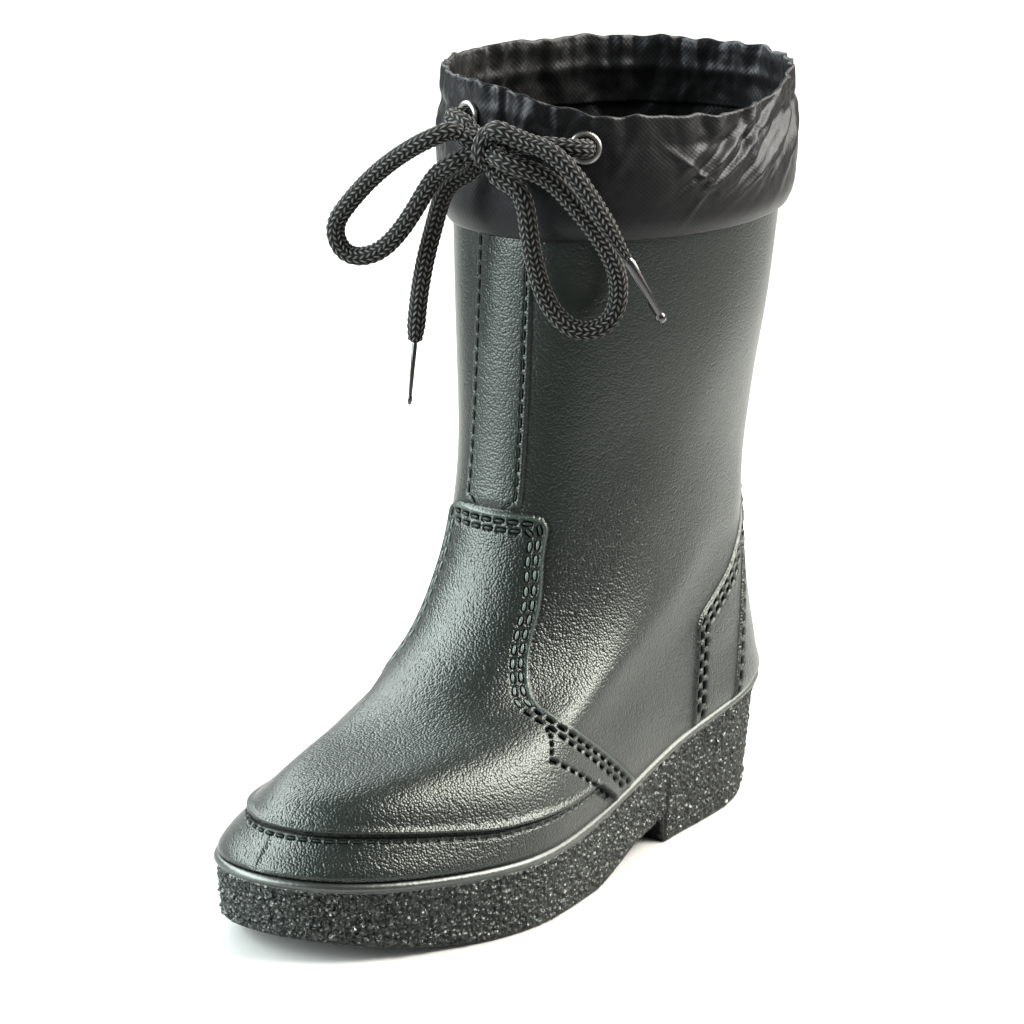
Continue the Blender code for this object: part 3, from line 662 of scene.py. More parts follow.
def panel_distances(points, normals):
    """Signed distance over the upper from the edge of each overlay, positive inside it."""
    side, front = [0, 2], [1, 2]
    vamp, moc = rounded(VAMP_EDGE), rounded(MOC_EDGE)
    counter, backstay, foot = rounded(COUNTER_EDGE), rounded(BACKSTAY_EDGE), rounded(HEEL_FOOT)

    def signed(line, outline, axes, corner=0):
        away = surface_distance(points, normals, line[corner:], axes)
        if corner:
            away = np.minimum(away, surface_distance(points, normals, line[:corner + 1], axes))
        return np.where(inside(points[:, axes], outline), away, -away)

    def beside(line, axes):
        chord, off = line[-1] - line[0], points[:, axes] - line[0]
        away = surface_distance(points, normals, line, axes)
        return np.where(chord[0] * off[:, 1] > chord[1] * off[:, 0], away, -away)

    panel = np.concatenate([vamp, moc])
    found = {
        "vamp": signed(vamp, panel, side, VAMP_CORNER),
        "moc": signed(moc, panel, side),
        "strap": beside(rounded(STRAP_EDGE), side),
        "tack": beside(rounded(TACK_EDGE), side),
        "counter": signed(counter, np.concatenate([counter, foot]), side),
        "backstay": signed(backstay, np.concatenate([backstay, foot]), side),
        "stay": signed(rounded(FRONT_STAY), rounded(FRONT_STAY), front),
        "strip": signed(rounded(BACK_STAY), rounded(BACK_STAY), front),
    }
    x, y = points[:, 0], points[:, 1]
    found["stay"][x < STAY_FROM] = found["strip"][x > STRIP_TO] = -FAR
    found["seam"] = np.where((x > SEAM_FROM) & (found["moc"] < -1.0), y - TOE_SEAM, FAR)
    return found


# Rims of the overlays: rise, width, and how dark the painted shade under the rim is
EDGE_RIMS = {"vamp": (0.32, 0.45, 0.3), "moc": (0.7, 0.75, 0.95), "counter": (0.2, 0.5, 0.25),
             "backstay": (0.16, 0.5, 0.25), "stay": (0.12, 0.5, 0.3), "strip": (0.12, 0.5, 0.3)}


def upper_relief(found):
    """Height of the moulded detail over the plain upper, and how much painted shade (in grooves and under
    rims) and painted highlight (on the vamp's rim) each point gets.
    """
    def panel(name, lift):
        return lift * smooth_step(-0.45, 0.3, found[name])

    covered = smooth_step(0.2, 1.2, found["vamp"])
    height = np.maximum.reduce([
        panel("vamp", VAMP_LIFT) * smooth_step(-0.45, 0.3, found["moc"]),
        panel("stay", STAY_LIFT), panel("strip", STAY_LIFT),
        panel("counter", COUNTER_LIFT), panel("backstay", BACKSTAY_LIFT)])
    seam = found["seam"]
    height = height - 0.4 * smooth_step(-0.9, 0.9, seam) * np.exp(-np.maximum(seam, 0) / 5)
    groove = np.zeros_like(height)
    for name, (rise, width, rim_shadow) in EDGE_RIMS.items():
        open_edge = 1 if name in ("vamp", "moc") else 1 - covered
        height = height + rise * ridge(found[name], width * 0.9, width) * open_edge
        # Painted shade just outside each overlay's edge, under its rim.
        groove = np.maximum(groove, rim_shadow * ridge(found[name], -0.55, 0.42) * open_edge)
    # The last value marks the painted highlight along the vamp's rim.
    return height, groove, ridge(found["vamp"], 0.4, 0.35)


def stitch_pockets(points, stitches):
    """How deep each point lies in the pockets round the stitches."""
    tree = kdtree.KDTree(len(stitches))
    for i, stitch in enumerate(stitches):
        tree.insert(stitch.middle, i)
    tree.balance()
    depth = np.zeros(len(points))
    for i, point in enumerate(points):
        place, k, away = tree.find(point)
        if away > 2.5:
            continue
        row, along = stitches[k].row, stitches[k].along
        off = Vector(point) - place
        reach = off.dot(along) / (row.pitch * 0.37)
        across = off.cross(along).length / (row.width * 0.62)
        depth[i] = row.depth * math.exp(-reach ** 6 - across ** 4)
    return depth


def new_form(*marks):
    """An empty bmesh whose points keep the named numbers."""
    form = bmesh.new()
    for name in marks:
        form.verts.layers.float.new(name)
    return form


def grid_shares(verts):
    """How far each point of a new grid lies along its two sides, from 0 to 1."""
    return (np.array([vert.co.xy for vert in verts]) + 0.5).T


def patch(form, columns, rows, place):
    """A grid of faces moved to place(u, v), with u and v from 0 to 1, and marked as place says."""
    made = bmesh.ops.create_grid(form, x_segments=columns, y_segments=rows, size=0.5)["verts"]
    move(form, made, place(*grid_shares(made)))


def move(form, verts, placed):
    """Moves points, and keeps the named numbers that come with them."""
    points, marks = placed if isinstance(placed, tuple) else (placed, {})
    for vert, point in zip(verts, points):
        vert.co = point
    for name, values in marks.items():
        layer = form.verts.layers.float[name]
        for vert, value in zip(verts, values):
            vert[layer] = value


def weld(form):
    bmesh.ops.remove_doubles(form, verts=form.verts, dist=1e-3)


def outward(form):
    bmesh.ops.recalc_face_normals(form, faces=form.faces)


def open_edges(form):
    return [edge for edge in form.edges if edge.is_boundary]


def turned(profile, place, axis, steps):
    """A profile of (radius, height) turned about an axis, with its open ends filled."""
    form = bmesh.new()
    stand = Matrix.Translation(place) @ axis.to_track_quat("Z", "Y").to_matrix().to_4x4()
    verts = [form.verts.new(stand @ Vector((radius, 0, height))) for radius, height in profile]
    edges = [form.edges.new(pair) for pair in zip(verts, verts[1:])]
    bmesh.ops.spin(form, geom=verts + edges, cent=place, axis=axis, angle=2 * math.pi, steps=steps,
                   use_merge=True)
    weld(form)
    bmesh.ops.holes_fill(form, edges=open_edges(form))
    outward(form)
    return form


def show(name, data):
    """A new object in the scene."""
    made = bpy.data.objects.new(name, data)
    bpy.context.collection.objects.link(made)
    return made


def piece(name, form, finish, slot, *nodes):
    """A finished piece from a bmesh in millimetres. It stands for the nodes."""
    bmesh.ops.scale(form, vec=(MM, MM, MM), verts=form.verts)
    mesh = bpy.data.meshes.new(name)
    form.to_mesh(mesh)
    form.free()
    mesh.shade_smooth()
    mesh.materials.append(finish)
    made = show(name, mesh)
    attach(made, "root")
    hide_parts(*nodes)
    return made


RIM_ROWS, INNER_ROWS = 6, 26
FINE_REACHES = (3.0, 1.7)               # distances from a seam within which faces are split, in turn
FOOT_FLARE, FOOT_DROP = 1.9, 0.45       # how the wall's foot spreads over the sole's bead


def seam_distance(found):
    """Distance from the nearest edge of an overlay or row of stitches."""
    edges = [np.abs(found[name]) for name in (*EDGE_RIMS, "seam")]
    return np.min(edges + [np.abs(found[row.edge] - row.inside) for row in ROWS], axis=0)


def make_upper(settings, stitches):
    """One moulded wall: its outside with every overlay, its rolled collar and its inside."""
    total = settings.rows + RIM_ROWS + INNER_ROWS
    collar, lining = settings.rows / total, (settings.rows + RIM_ROWS) / total
    welt = 2 / total

    def bare(u, v):
        level = np.interp(v, [0, welt, collar, lining, 1], [0, 1, TOP_LEVEL, TOP_LEVEL, 0])
        return *upper_frame(2 * math.pi * u, level), np.interp(v, [collar, lining], [0, math.pi])

    def place(u, v):
        points, normals, turn = bare(u, v)
        found = panel_distances(points, normals)
        height, groove, rim = upper_relief(found)
        out = turn == 0
        near = (seam_distance(found) < 1.5) & out
        pockets = np.zeros(len(points))
        pockets[near] = stitch_pockets((points + normals * height[:, None])[near], stitches)
        # The pockets round the stitches get painted shade as well.
        height, groove = height - POCKET_DEPTH * pockets, np.maximum(groove, pockets)
        height, groove, rim = (np.where(out, values, 0) for values in (height, groove, rim))
        fade = smooth_step(0, 3 * welt, v) * smooth_step(collar, collar - 0.01, v)
        foot = (v > 0.9 * welt) * smooth_step(7 * welt, welt, v)
        offset = height * fade + FOOT_FLARE * foot - WALL / 2 * (1 - np.cos(turn))
        points = points + normals * offset[:, None]
        points[:, 2] += WALL / 2 * np.sin(turn) - FOOT_DROP * foot * (v < 1.5 * welt)
        # groove carries the painted shade, rim the painted highlight.
        return points, {"groove": groove * fade, "rim": rim * fade * (1 - groove)}

    form = new_form("groove", "rim")
    bmesh.ops.create_grid(form, x_segments=settings.columns, y_segments=total, size=0.5)
    for reach in FINE_REACHES:
        points, normals, turn = bare(*grid_shares(form.verts))
        near = seam_distance(panel_distances(points, normals))
        near[turn > 0] = np.inf
        form.verts.index_update()
        fine = [edge for edge in form.edges if all(near[vert.index] < reach for vert in edge.verts)]
        bmesh.ops.subdivide_edges(form, edges=fine, cuts=1, use_grid_fill=True)
    verts = list(form.verts)
    move(form, verts, place(*grid_shares(verts)))
    weld(form)
    bmesh.ops.bridge_loops(form, edges=open_edges(form))
    outward(form)
    return piece("moulded_upper", form, rubber_finish(settings), "green_rubber", "upper")


def level_lines(field):
    """Chains of places (row, column) where a field on a grid closed round its columns is zero."""
    rows, columns = field.shape
    after = np.roll(field, -1, axis=1)
    crossed = {
        0: (field > 0) != (after > 0),
        1: np.vstack([(field[:-1] > 0) != (field[1:] > 0), np.zeros((1, columns), bool)]),
    }
    places, links = {}, {}
    for kind, other in ((0, after), (1, np.roll(field, -1, axis=0))):
        for r, c in zip(*np.nonzero(crossed[kind])):
            t = field[r, c] / (field[r, c] - other[r, c])
            places[kind, r, c] = (r, c + t) if kind == 0 else (r + t, c)
    cells = set()
    for kind, r, c in places:
        cells |= {(r, c), (r - 1, c)} if kind == 0 else {(r, c), (r, (c - 1) % columns)}
    for r, c in cells:
        if not 0 <= r < rows - 1:
            continue
        sides = [(0, r, c), (0, r + 1, c), (1, r, c), (1, r, (c + 1) % columns)]
        found = [side for side in sides if side in places]
        if len(found) == 2:
            links.setdefault(found[0], []).append(found[1])
            links.setdefault(found[1], []).append(found[0])
    chains = []
    ends = sorted(key for key in links if len(links[key]) == 1) + sorted(links)
    seen = set()
    for start in ends:
        chain = []
        here = start
        while here is not None and here not in seen:
            seen.add(here)
            chain.append(places[here])
            here = next((key for key in links[here] if key not in seen), None)
        if len(chain) > 3:
            chains.append(np.array(chain))
    return chains


def grid_sample(values, shape, chain):
    """Values of a grid, closed round its columns, at fractional places."""
    grid = values.reshape(*shape, -1)
    rows, columns = shape
    r, c = np.floor(chain).astype(int).T
    fr, fc = (chain - np.floor(chain)).T[:, :, None]
    r_next = np.minimum(r + 1, rows - 1)
    c, c_next = c % columns, (c + 1) % columns
    return ((grid[r, c] * (1 - fc) + grid[r, c_next] * fc) * (1 - fr)
            + (grid[r_next, c] * (1 - fc) + grid[r_next, c_next] * fc) * fr)


def evenly(points, step):
    """Places along a line at even steps, as shares of its points."""
    along = run_along(points)
    count = int(along[-1] / step)
    wanted = (np.arange(count) + 0.5) * (along[-1] / max(count, 1))
    return np.interp(wanted, along, np.arange(len(points)))


Stitch = namedtuple("Stitch", "row middle along out")
SEARCH_COLUMNS, SEARCH_ROWS = 420, 300  # the grid on which the rows of stitches are found


def stitch_places():
    """Where each moulded stitch stands along the overlays."""
    shape = SEARCH_ROWS, SEARCH_COLUMNS
    turns = np.arange(SEARCH_COLUMNS) / SEARCH_COLUMNS * 2 * math.pi
    level, phi = np.meshgrid(np.linspace(1.0, TOP_LEVEL, SEARCH_ROWS), turns, indexing="ij")
    points, normals = upper_frame(phi.ravel(), level.ravel())
    found = panel_distances(points, normals)
    points = points + normals * upper_relief(found)[0][:, None]
    lip = sole_column("lip", phi.ravel())
    covered = found["vamp"] > 0.6
    stitches = []
    for row in ROWS:
        field = found[row.edge] - row.inside
        over = covered | (found["counter"] > 0.3) if row.edge == "strip" else covered
        for chain in level_lines(field.reshape(shape)):
            line, facing = (grid_sample(values, shape, chain) for values in (points, normals))
            hidden, floor, off = (grid_sample(values, shape, chain)[:, 0]
                                  for values in (over.astype(float), lip, np.abs(field)))
            keep = (line[:, 2] > floor + 1.6) & (off < 1.2)
            if row.edge in ("stay", "strip", "counter", "backstay"):
                keep &= hidden < 0.5
            for at in evenly(line, row.pitch):
                i = min(int(at), len(line) - 2)
                if not keep[i]:
                    continue
                t = at - i
                middle = Vector(line[i] * (1 - t) + line[i + 1] * t)
                out = Vector(facing[i]).normalized()
                low, high = max(i - 2, 0), min(i + 3, len(line) - 1)
                along = Vector(line[high] - line[low])
                along = (along - out * along.dot(out)).normalized()
                stitches.append(Stitch(row, middle, along, out))
    return stitches


def make_stitches(settings, stitches):
    """Moulded stitches in their pockets. Those up the front of the vamp stand out, the rest lie deep."""
    form = new_form("painted_lit")
    painted_lit = form.verts.layers.float["painted_lit"]
    for row, middle, along, out in stitches:
        proud = row.edge == "vamp" and middle.z > PROUD_FROM or row.edge in ("stay", "moc")
        turn = Matrix((along, out.cross(along), out)).transposed().to_4x4()
        size = Matrix.Diagonal((row.pitch * 0.35, row.width * (0.36 if proud else 0.34), 0.4, 1))
        place = Matrix.Translation(middle - out * (PROUD_SINK if proud else DEEP_SINK))
        made = bmesh.ops.create_icosphere(form, subdivisions=2, radius=1, matrix=place @ turn @ size)
        for vert in made["verts"]:
            # Painted light: 1 leaves a stitch lit grey, 0 paints it black with shade, 0.3 leaves it mostly
            # in shade.
            vert[painted_lit] = 0.3 if row.edge == "moc" or middle.z > SHADED_FROM else proud
    return piece("moulded_stitches", form, stitch_finish(settings), "green_rubber")


def make_lining():
    """Textile lining inside the wall, from the collar to the footbed."""
    def place(u, v):
        points, normals = upper_frame(2 * math.pi * u, TOP_LEVEL - 0.08 - v * (TOP_LEVEL - 1.2))
        return points - normals * (WALL + 0.25)

    form = bmesh.new()
    patch(form, 160, 70, place)
    weld(form)
    bmesh.ops.reverse_faces(form, faces=form.faces)
    return piece("lining", form, knit_finish("lining_knit", (0.03, 0.031, 0.031)), "insole_felt")


# Bead round the top of the sole, from the crepe wall over to the ledge: inset, and height from the lip
BEAD = [(0.42, -2.1), (0.1, -1.85), (0.0, -1.55), (0.0, -1.2), (0.15, -0.75), (0.5, -0.3), (1.1, -0.05),
        (LIP_WIDTH - 0.5, 0.0), (LIP_WIDTH, -0.5), (LIP_WIDTH, -LEDGE_DROP)]
SOLE_COLUMNS, WALL_ROWS, BEAD_ROWS = 1100, 46, len(BEAD)
CRUMB_SEED = 1            # the same crumbs on every run
WALL_TOP = -2.6           # the top of the crepe wall, from the lip
FOOT_ROUND = 0.6          # how far the wall draws in at the floor
SOLE_ROUND = 480.0        # the sole's length round, for its mock stitches
DASH_PITCH, DASH_LENGTH, DASH_DROP, DASH_RISE = 3.6, 2.4, 5.4, 0.25


def underside(x):
    """Height of the bottom of the sole over the floor: heel, arch and toe spring."""
    arch, toe, heel = (rounded(line) for line in (ARCH_LINE, TOE_LINE, HEEL_LINE))
    arch_z = np.where(x < arch[0, 0], 0, np.interp(x, *arch.T))
    return np.maximum.reduce([arch_z, np.interp(x, *toe.T), np.interp(x, *heel.T), np.zeros_like(x)])


def crepe_relief(points, pebble):
    """Torn crumbs of the crepe, from 0 in the pits to 1 on the tops."""
    noise.seed_set(CRUMB_SEED)
    tops = np.empty(len(points))
    for i, point in enumerate(points):
        place = Vector(point) / pebble
        torn = place + noise.noise_vector(place * 0.8) * 0.7
        near, cells = noise.voronoi(torn)
        size = 0.7 + 0.6 * noise.noise(cells[0] * 3.3)
        crumb = size * min(1.0, 1.3 * (near[1] - near[0]))
        tops[i] = crumb + 0.5 * noise.turbulence(place * 1.6, 2, True)
    return np.clip(tops * 0.8, 0, 1)


def make_outsole(settings):
    """Crepe sole with a smooth bead, mock welt stitches, heel, arch and tread."""
    pebble, relief = settings.pebble / MM, settings.relief / MM
    rows = WALL_ROWS + BEAD_ROWS
    bead_insets, bead_drops = zip(*BEAD)

    def bottom_ring(phi):
        ring = sole_ring(phi, sole_column("taper", phi) + FOOT_ROUND, 0.0)
        ring[:, 2] = underside(ring[:, 0])
        return ring

    def wall(u, v):
        phi = 2 * math.pi * u
        lip, taper = sole_column("lip", phi), sole_column("taper", phi)
        row = v * rows
        low = bottom_ring(phi)[:, 2]
        climb = np.clip(row / WALL_ROWS, 0, 1)
        top_inset = taper * 0.2 + 0.45
        inset = taper + (top_inset - taper) * climb + FOOT_ROUND * (1 - smooth_step(0, 0.05, climb))
        height = low + (lip + WALL_TOP - low) * climb
        upper_row = np.clip(row - WALL_ROWS, 0, BEAD_ROWS)
        stops = range(BEAD_ROWS + 1)
        on_bead = row > WALL_ROWS
        bead_inset = np.interp(upper_row, stops, [0, *bead_insets])
        bead_inset += top_inset * np.clip(1 - upper_row, 0, 1)
        bead_drop = np.interp(upper_row, stops, [WALL_TOP, *bead_drops])
        inset, height = np.where(on_bead, bead_inset, inset), np.where(on_bead, lip + bead_drop, height)
        points = sole_ring(phi, inset, height)
        crepe = smooth_step(0.0, 0.03, climb) * (1 - smooth_step(WALL_ROWS - 2, WALL_ROWS + 0.5, row))
        tops = np.zeros(len(points))
        rough = crepe > 0.01
        tops[rough] = crepe_relief(points[rough], pebble)
        dash = ridge(lip - height, DASH_DROP, 0.45) * (np.mod(u * SOLE_ROUND, DASH_PITCH) < DASH_LENGTH)
        out = crepe * (relief * (tops - 0.45) + DASH_RISE * dash)
        points += plan_normals(sole_outline, phi) * out[:, None]
        # The first mark is painted shade, darkest in the crepe's pits.
        return points, {"pit": crepe * (1 - tops) ** 2, "crepe": crepe}

    def tread(u, v):
        points, rim = across_sole(bottom_ring, u, v)
        x = points[:, 0]
        cut = np.max([smooth_step(0.35, -0.35, np.abs(x - groove) - GROOVE_WIDTH / 2)
                      for groove in GROOVES], axis=0)
        cut = cut * smooth_step(TREAD_RIM - 3.2, TREAD_RIM - 2.2, rim)
        points[:, 2] = underside(x) + GROOVE_DEPTH * cut
        # Painted shade in the tread's grooves.
        return points, {"pit": 0.5 * cut, "crepe": np.full(len(points), 0.5)}

    def footbed(u, v):
        return across_sole(lambda phi: footbed_ring(phi, LIP_WIDTH + LEDGE_WIDTH), u, v)[0]

    def ledge(u, v):
        phi = 2 * math.pi * u
        top = sole_column("lip", phi) - LEDGE_DROP
        inset = LIP_WIDTH + LEDGE_WIDTH * np.clip(2 * v, 0, 1)
        return sole_ring(phi, inset, np.where(v <= 0.5, top, sole_column("footbed", phi)))

    form = new_form("pit", "crepe")
    patch(form, SOLE_COLUMNS, rows, wall)
    patch(form, SOLE_COLUMNS // 2, 30, tread)
    patch(form, SOLE_COLUMNS // 2, 4, footbed)
    patch(form, SOLE_COLUMNS, 2, ledge)
    weld(form)
    outward(form)
    return piece("crepe_outsole", form, crepe_finish(settings), "crepe_sole", "outsole")


def make_insole():
    """Felt insole with a softly rounded edge."""
    inset = LIP_WIDTH + LEDGE_WIDTH + 2 * GAP

    def place(u, v):
        points, rim = across_sole(lambda phi: footbed_ring(phi, inset, GAP), u, v)
        points[:, 2] += INSOLE_THICK * np.sqrt(np.clip(rim / 2.0, 0, 1))
        return points

    form = bmesh.new()
    patch(form, 220, 60, place)
    weld(form)
    if sum(face.normal.z for face in form.faces) < 0:
        bmesh.ops.reverse_faces(form, faces=form.faces)
    finish = knit_finish("insole_felt", (0.05, 0.05, 0.05))
    return piece("felt_insole", form, finish, "insole_felt", "insole")


def collar_outline(phi):
    return upper_keys(phi)[:, -1]


def cuff_out(share):
    """How far outside the collar the cloth lies, at each share of the cuff's height."""
    basis = spline_basis([ring.share for ring in CUFF], np.atleast_1d(share))
    return basis @ np.array([ring.out for ring in CUFF])


def rim_height(phi):
    angle = (np.degrees(phi) + 180) % 360 - 180
    return spline_basis([rim.angle for rim in RIM], angle) @ np.array([rim.height for rim in RIM])


def cuff_frame(eyelet):
    """Where an eyelet sits on the outside of the cuff, and its outward direction."""
    phi = np.array([math.radians(eyelet.angle)])
    angles, heights = zip(*RIM)
    tall = float(np.interp(eyelet.angle, angles, heights)) - CUFF_FOOT
    share = (eyelet.height - CUFF_FOOT) / tall
    out = plan_normals(collar_outline, phi)[0]
    point = collar_outline(phi)[0] + out * cuff_out(share)
    lean = (cuff_out(share + 0.02) - cuff_out(share - 0.02))[0] / (0.04 * tall)
    normal = Vector(out) - Vector((0, 0, lean))
    return Vector(point) + Vector((0, 0, eyelet.height)), normal.normalized()


CUFF_COLUMNS, CUFF_ROWS = 520, 90
CUFF_ROUND, CUFF_TALL = 312.0, 36.0     # the cuff's length round and its height, as its cloth is cut
# The cloth's way under the collar, and over the rim and down inside: share of the height, and how far out
CUFF_UNDER = [(0.06, -0.4), (0.025, 0.3), (-0.01, 1.1)]
CUFF_OVER = [(1.012, 2.2), (1.0, 1.7), (0.94, 1.4), (0.62, 2.2), (0.5, 2.3)]
CLOTH_THICK = 0.35
CHANNEL = 0.77            # the drawcord's channel, as a share of the cuff's height
SMOOTH_ANGLE = 50.0       # where the cuff lies flat, beside the right eyelet
SHAFT_MIDDLE_X = -48.0


def cuff_folds(phi, height, share):
    """How far the gathers and folds stand out of the plain cuff."""
    degrees = np.degrees(phi) % 360
    rise = np.zeros_like(phi)
    for fold in FOLDS:
        across = ((degrees - fold.angle + 180) % 360 - 180) * CUFF_ROUND / 360
        across = across - fold.lean * (height - fold.height)
        rise += fold.rise * ridge(across, 0, fold.width) * ridge(height, fold.height, fold.length)
    places = np.stack([np.cos(phi), np.sin(phi), height / 60], axis=1)
    small = np.array([noise.noise(Vector(p) * 9) + 0.5 * noise.noise(Vector(p) * 21) for p in places])
    gather = np.array([noise.noise(Vector((p[0] * 11, p[1] * 11, p[2] * 1.5))) for p in places])
    smooth_panel = 1 - 0.75 * ridge((degrees + 180) % 360 - 180, SMOOTH_ANGLE, 16)
    at_hem = smooth_step(0.1, 0.5, share)
    drawn = ridge(share, CHANNEL, 0.18)
    ruffle = smooth_step(CHANNEL, 1.02, share)
    return (rise + smooth_panel * (0.5 * small * at_hem + 1.2 * gather * drawn + 1.8 * gather * ruffle)
            - 0.7 * smooth_panel ** 2 * ridge(share, CHANNEL, 0.05))


def make_cuff(settings):
    """Cloth band: turned under at the collar, gathered at its channel, folded in at the top."""
    outside = [(share, cuff_out(share)[0]) for share in np.linspace(0, 1, 41)]
    path = np.array(CUFF_UNDER + outside + CUFF_OVER)
    along = run_along(path * (CUFF_TALL, 1))
    eyes = [cuff_frame(eyelet)[0] for eyelet in EYELETS]

    def place(u, v):
        phi = 2 * math.pi * (u + 0.5)
        share, out = (np.interp(v * along[-1], along, path[:, i]) for i in (0, 1))
        height = CUFF_FOOT + (rim_height(phi) - CUFF_FOOT) * share
        normals = plan_normals(collar_outline, phi)
        plain = collar_outline(phi) + normals * out[:, None]
        plain[:, 2] += height
        from_eye = np.min([np.linalg.norm(plain - np.array(eye), axis=1) for eye in eyes], axis=0)
        free = smooth_step(4.0, 9.0, from_eye) * smooth_step(-0.01, 0.12, share)
        points = plain + normals * (cuff_folds(phi, height, share) * free)[:, None]
        wave = np.array([noise.noise(Vector((math.cos(p), math.sin(p), 0)) * 8) for p in phi])
        points[:, 2] += 1.2 * wave * smooth_step(0.7, 1.0, share)
        return points, {"round": u, "length": v * along[-1]}

    form = new_form("round", "length")
    patch(form, CUFF_COLUMNS, CUFF_ROWS, place)
    weld(form)
    holes = [face for face in form.faces
             if min((face.calc_center_median() - eye).length for eye in eyes) < EYELET_BARREL]
    bmesh.ops.delete(form, geom=holes, context="FACES")
    axis = Vector((SHAFT_MIDDLE_X, 0))
    if sum(face.normal.xy.dot(face.calc_center_median().xy - axis) for face in form.faces) < 0:
        bmesh.ops.reverse_faces(form, faces=form.faces)
    weave = form.loops.layers.uv.new("weave")
    around, length = (form.verts.layers.float[name] for name in ("round", "length"))
    for face in form.faces:
        shares = [loop.vert[around] for loop in face.loops]
        wrapped = max(shares) - min(shares) > 0.5
        for loop, share in zip(face.loops, shares):
            turn = share + 1 if wrapped and share < 0.5 else share
            loop[weave].uv = turn * CUFF_ROUND * MM, loop.vert[length] * MM
    cuff = piece("cloth_cuff", form, cloth_finish(settings), "cuff_nylon", "cuff")
    thick = cuff.modifiers.new("cloth", "SOLIDIFY")
    thick.thickness, thick.offset = CLOTH_THICK * MM, -1
    return cuff


EYELET_STEPS, TIP_STEPS = 56, 20


def make_eyelets():
    """Rolled metal rings, turned about their own axes."""
    inner = -CUFF_THICK - GAP
    profile = [(EYELET_HOLE, inner), (EYELET_HOLE, 0.5), (EYELET_HOLE + 0.12, 0.9),
               (EYELET_HOLE + 0.4, EYELET_RISE), (EYELET_FLANGE - 0.75, EYELET_RISE),
               (EYELET_FLANGE - 0.3, 0.95), (EYELET_FLANGE - 0.05, 0.6), (EYELET_FLANGE, 0.05),
               (EYELET_BARREL, 0.05), (EYELET_BARREL, inner), (EYELET_FLANGE - 0.4, inner),
               (EYELET_FLANGE - 0.4, inner - 0.4), (EYELET_HOLE, inner - 0.4), (EYELET_HOLE, inner)]
    finish = nickel_finish()
    for eyelet in EYELETS:
        form = turned(profile, *cuff_frame(eyelet), EYELET_STEPS)
        piece(eyelet.name + "_ring", form, finish, "eyelet_nickel", eyelet.name)


def knot_port(direction):
    """Two points just clear of the knot, straight out of it in a direction."""
    out = Vector(direction).normalized()
    return [KNOT_AT + out * (KNOT_RADIUS + GAP + reach) for reach in (GAP, 2.5)]


def smooth_route(points, spacing):
    """Points at even steps along a smooth curve through a route."""
    route = np.array([tuple(point) for point in points])
    along = run_along(route)
    count = max(4, round(along[-1] / spacing) + 1)
    return spline_basis(along, np.linspace(0, along[-1], count)) @ route


def strand_route(strand):
    route = knot_port(strand.leave) + [Vector(point) for point in strand.route]
    if strand.back:
        route += reversed(knot_port(strand.back))
    return route


def run_route(run):
    """From inside the channel, straight out of an eyelet, and round to the knot."""
    point, normal = cuff_frame(EYELETS[run.eyelet])
    port, outer = knot_port(run.leave)
    return [point - normal * 2.2, point + normal * (EYELET_RISE + 2 * GAP), point + normal * RUN_RISE,
            outer, port]


BRAID_STEP = 0.32
PLAIT_SIDES = 6           # faces across one plait
YARN_RISE = 0.44          # how far a plait stands out
# How thin each free end gets, as a share of the cord, and over what length
ENDS = {"cord_end_left": (0.78, 5.0), "cord_end_right": (0.5, 13.0)}


def braid(form, route, settings, end=1.0, taper=0.0):
    """A round braid along a route: plaits that lean one way and the other, column by column."""
    line = smooth_route(route, BRAID_STEP)
    ahead = unit(np.gradient(line, axis=0))
    side = np.empty_like(line)
    side[0] = unit(np.cross(ahead[0], (0.3, 0.2, 0.9)))
    for i in range(1, len(line)):
        side[i] = unit(side[i - 1] - ahead[i] * (side[i - 1] @ ahead[i]))
    other = np.cross(ahead, side)
    run = np.arange(len(line)) * BRAID_STEP
    pitch = settings.pitch / MM

    def place(u, v):
        row = np.rint(v * (len(line) - 1)).astype(int)
        turn = u * 2 * math.pi
        column = u * settings.plaits
        lean = np.where(np.floor(column) % 2 < 1, 1.0, -1.0)
        across = column - np.floor(column) - 0.5
        wave = run[row] / pitch + lean * across * 0.9
        crest = np.abs(np.sin(math.pi * wave)) ** 2.2 * np.cos(math.pi * across) ** 0.6
        radius = CORD_DIAMETER / 2 - 0.36 + YARN_RISE * crest
        ends = np.minimum(run[row], run[-1] - run[row])
        if taper:
            radius = radius * (end + (1 - end) * smooth_step(0, taper, run[-1] - run[row]))
        radius = radius * (0.5 + 0.5 * smooth_step(-0.1, 0.8, ends))
        points = (line[row] + side[row] * (radius * np.cos(turn))[:, None]
                  + other[row] * (radius * np.sin(turn))[:, None])
        return points, {"crest": crest}

    patch(form, settings.plaits * PLAIT_SIDES, len(line) - 1, place)
    weld(form)
    bmesh.ops.holes_fill(form, edges=open_edges(form))
    outward(form)
    return line


def make_cord(settings):
    """The drawcord's runs, loops and ends, its knot and its tips."""
    finish = braid_finish(settings)
    tips = make_tips()
    for run in RUNS:
        form = new_form("crest")
        braid(form, run_route(run), settings)
        piece(run.name + "_braid", form, finish, "cord_braid", run.name)
    knot = make_knot(settings, finish)
    for strand in STRANDS:
        form = new_form("crest")
        line = braid(form, strand_route(strand), settings, *ENDS.get(strand.name, (1.0, 0.0)))
        cord = piece(strand.name + "_braid", form, finish, "cord_braid", strand.name)
        (line * MM).tolist()


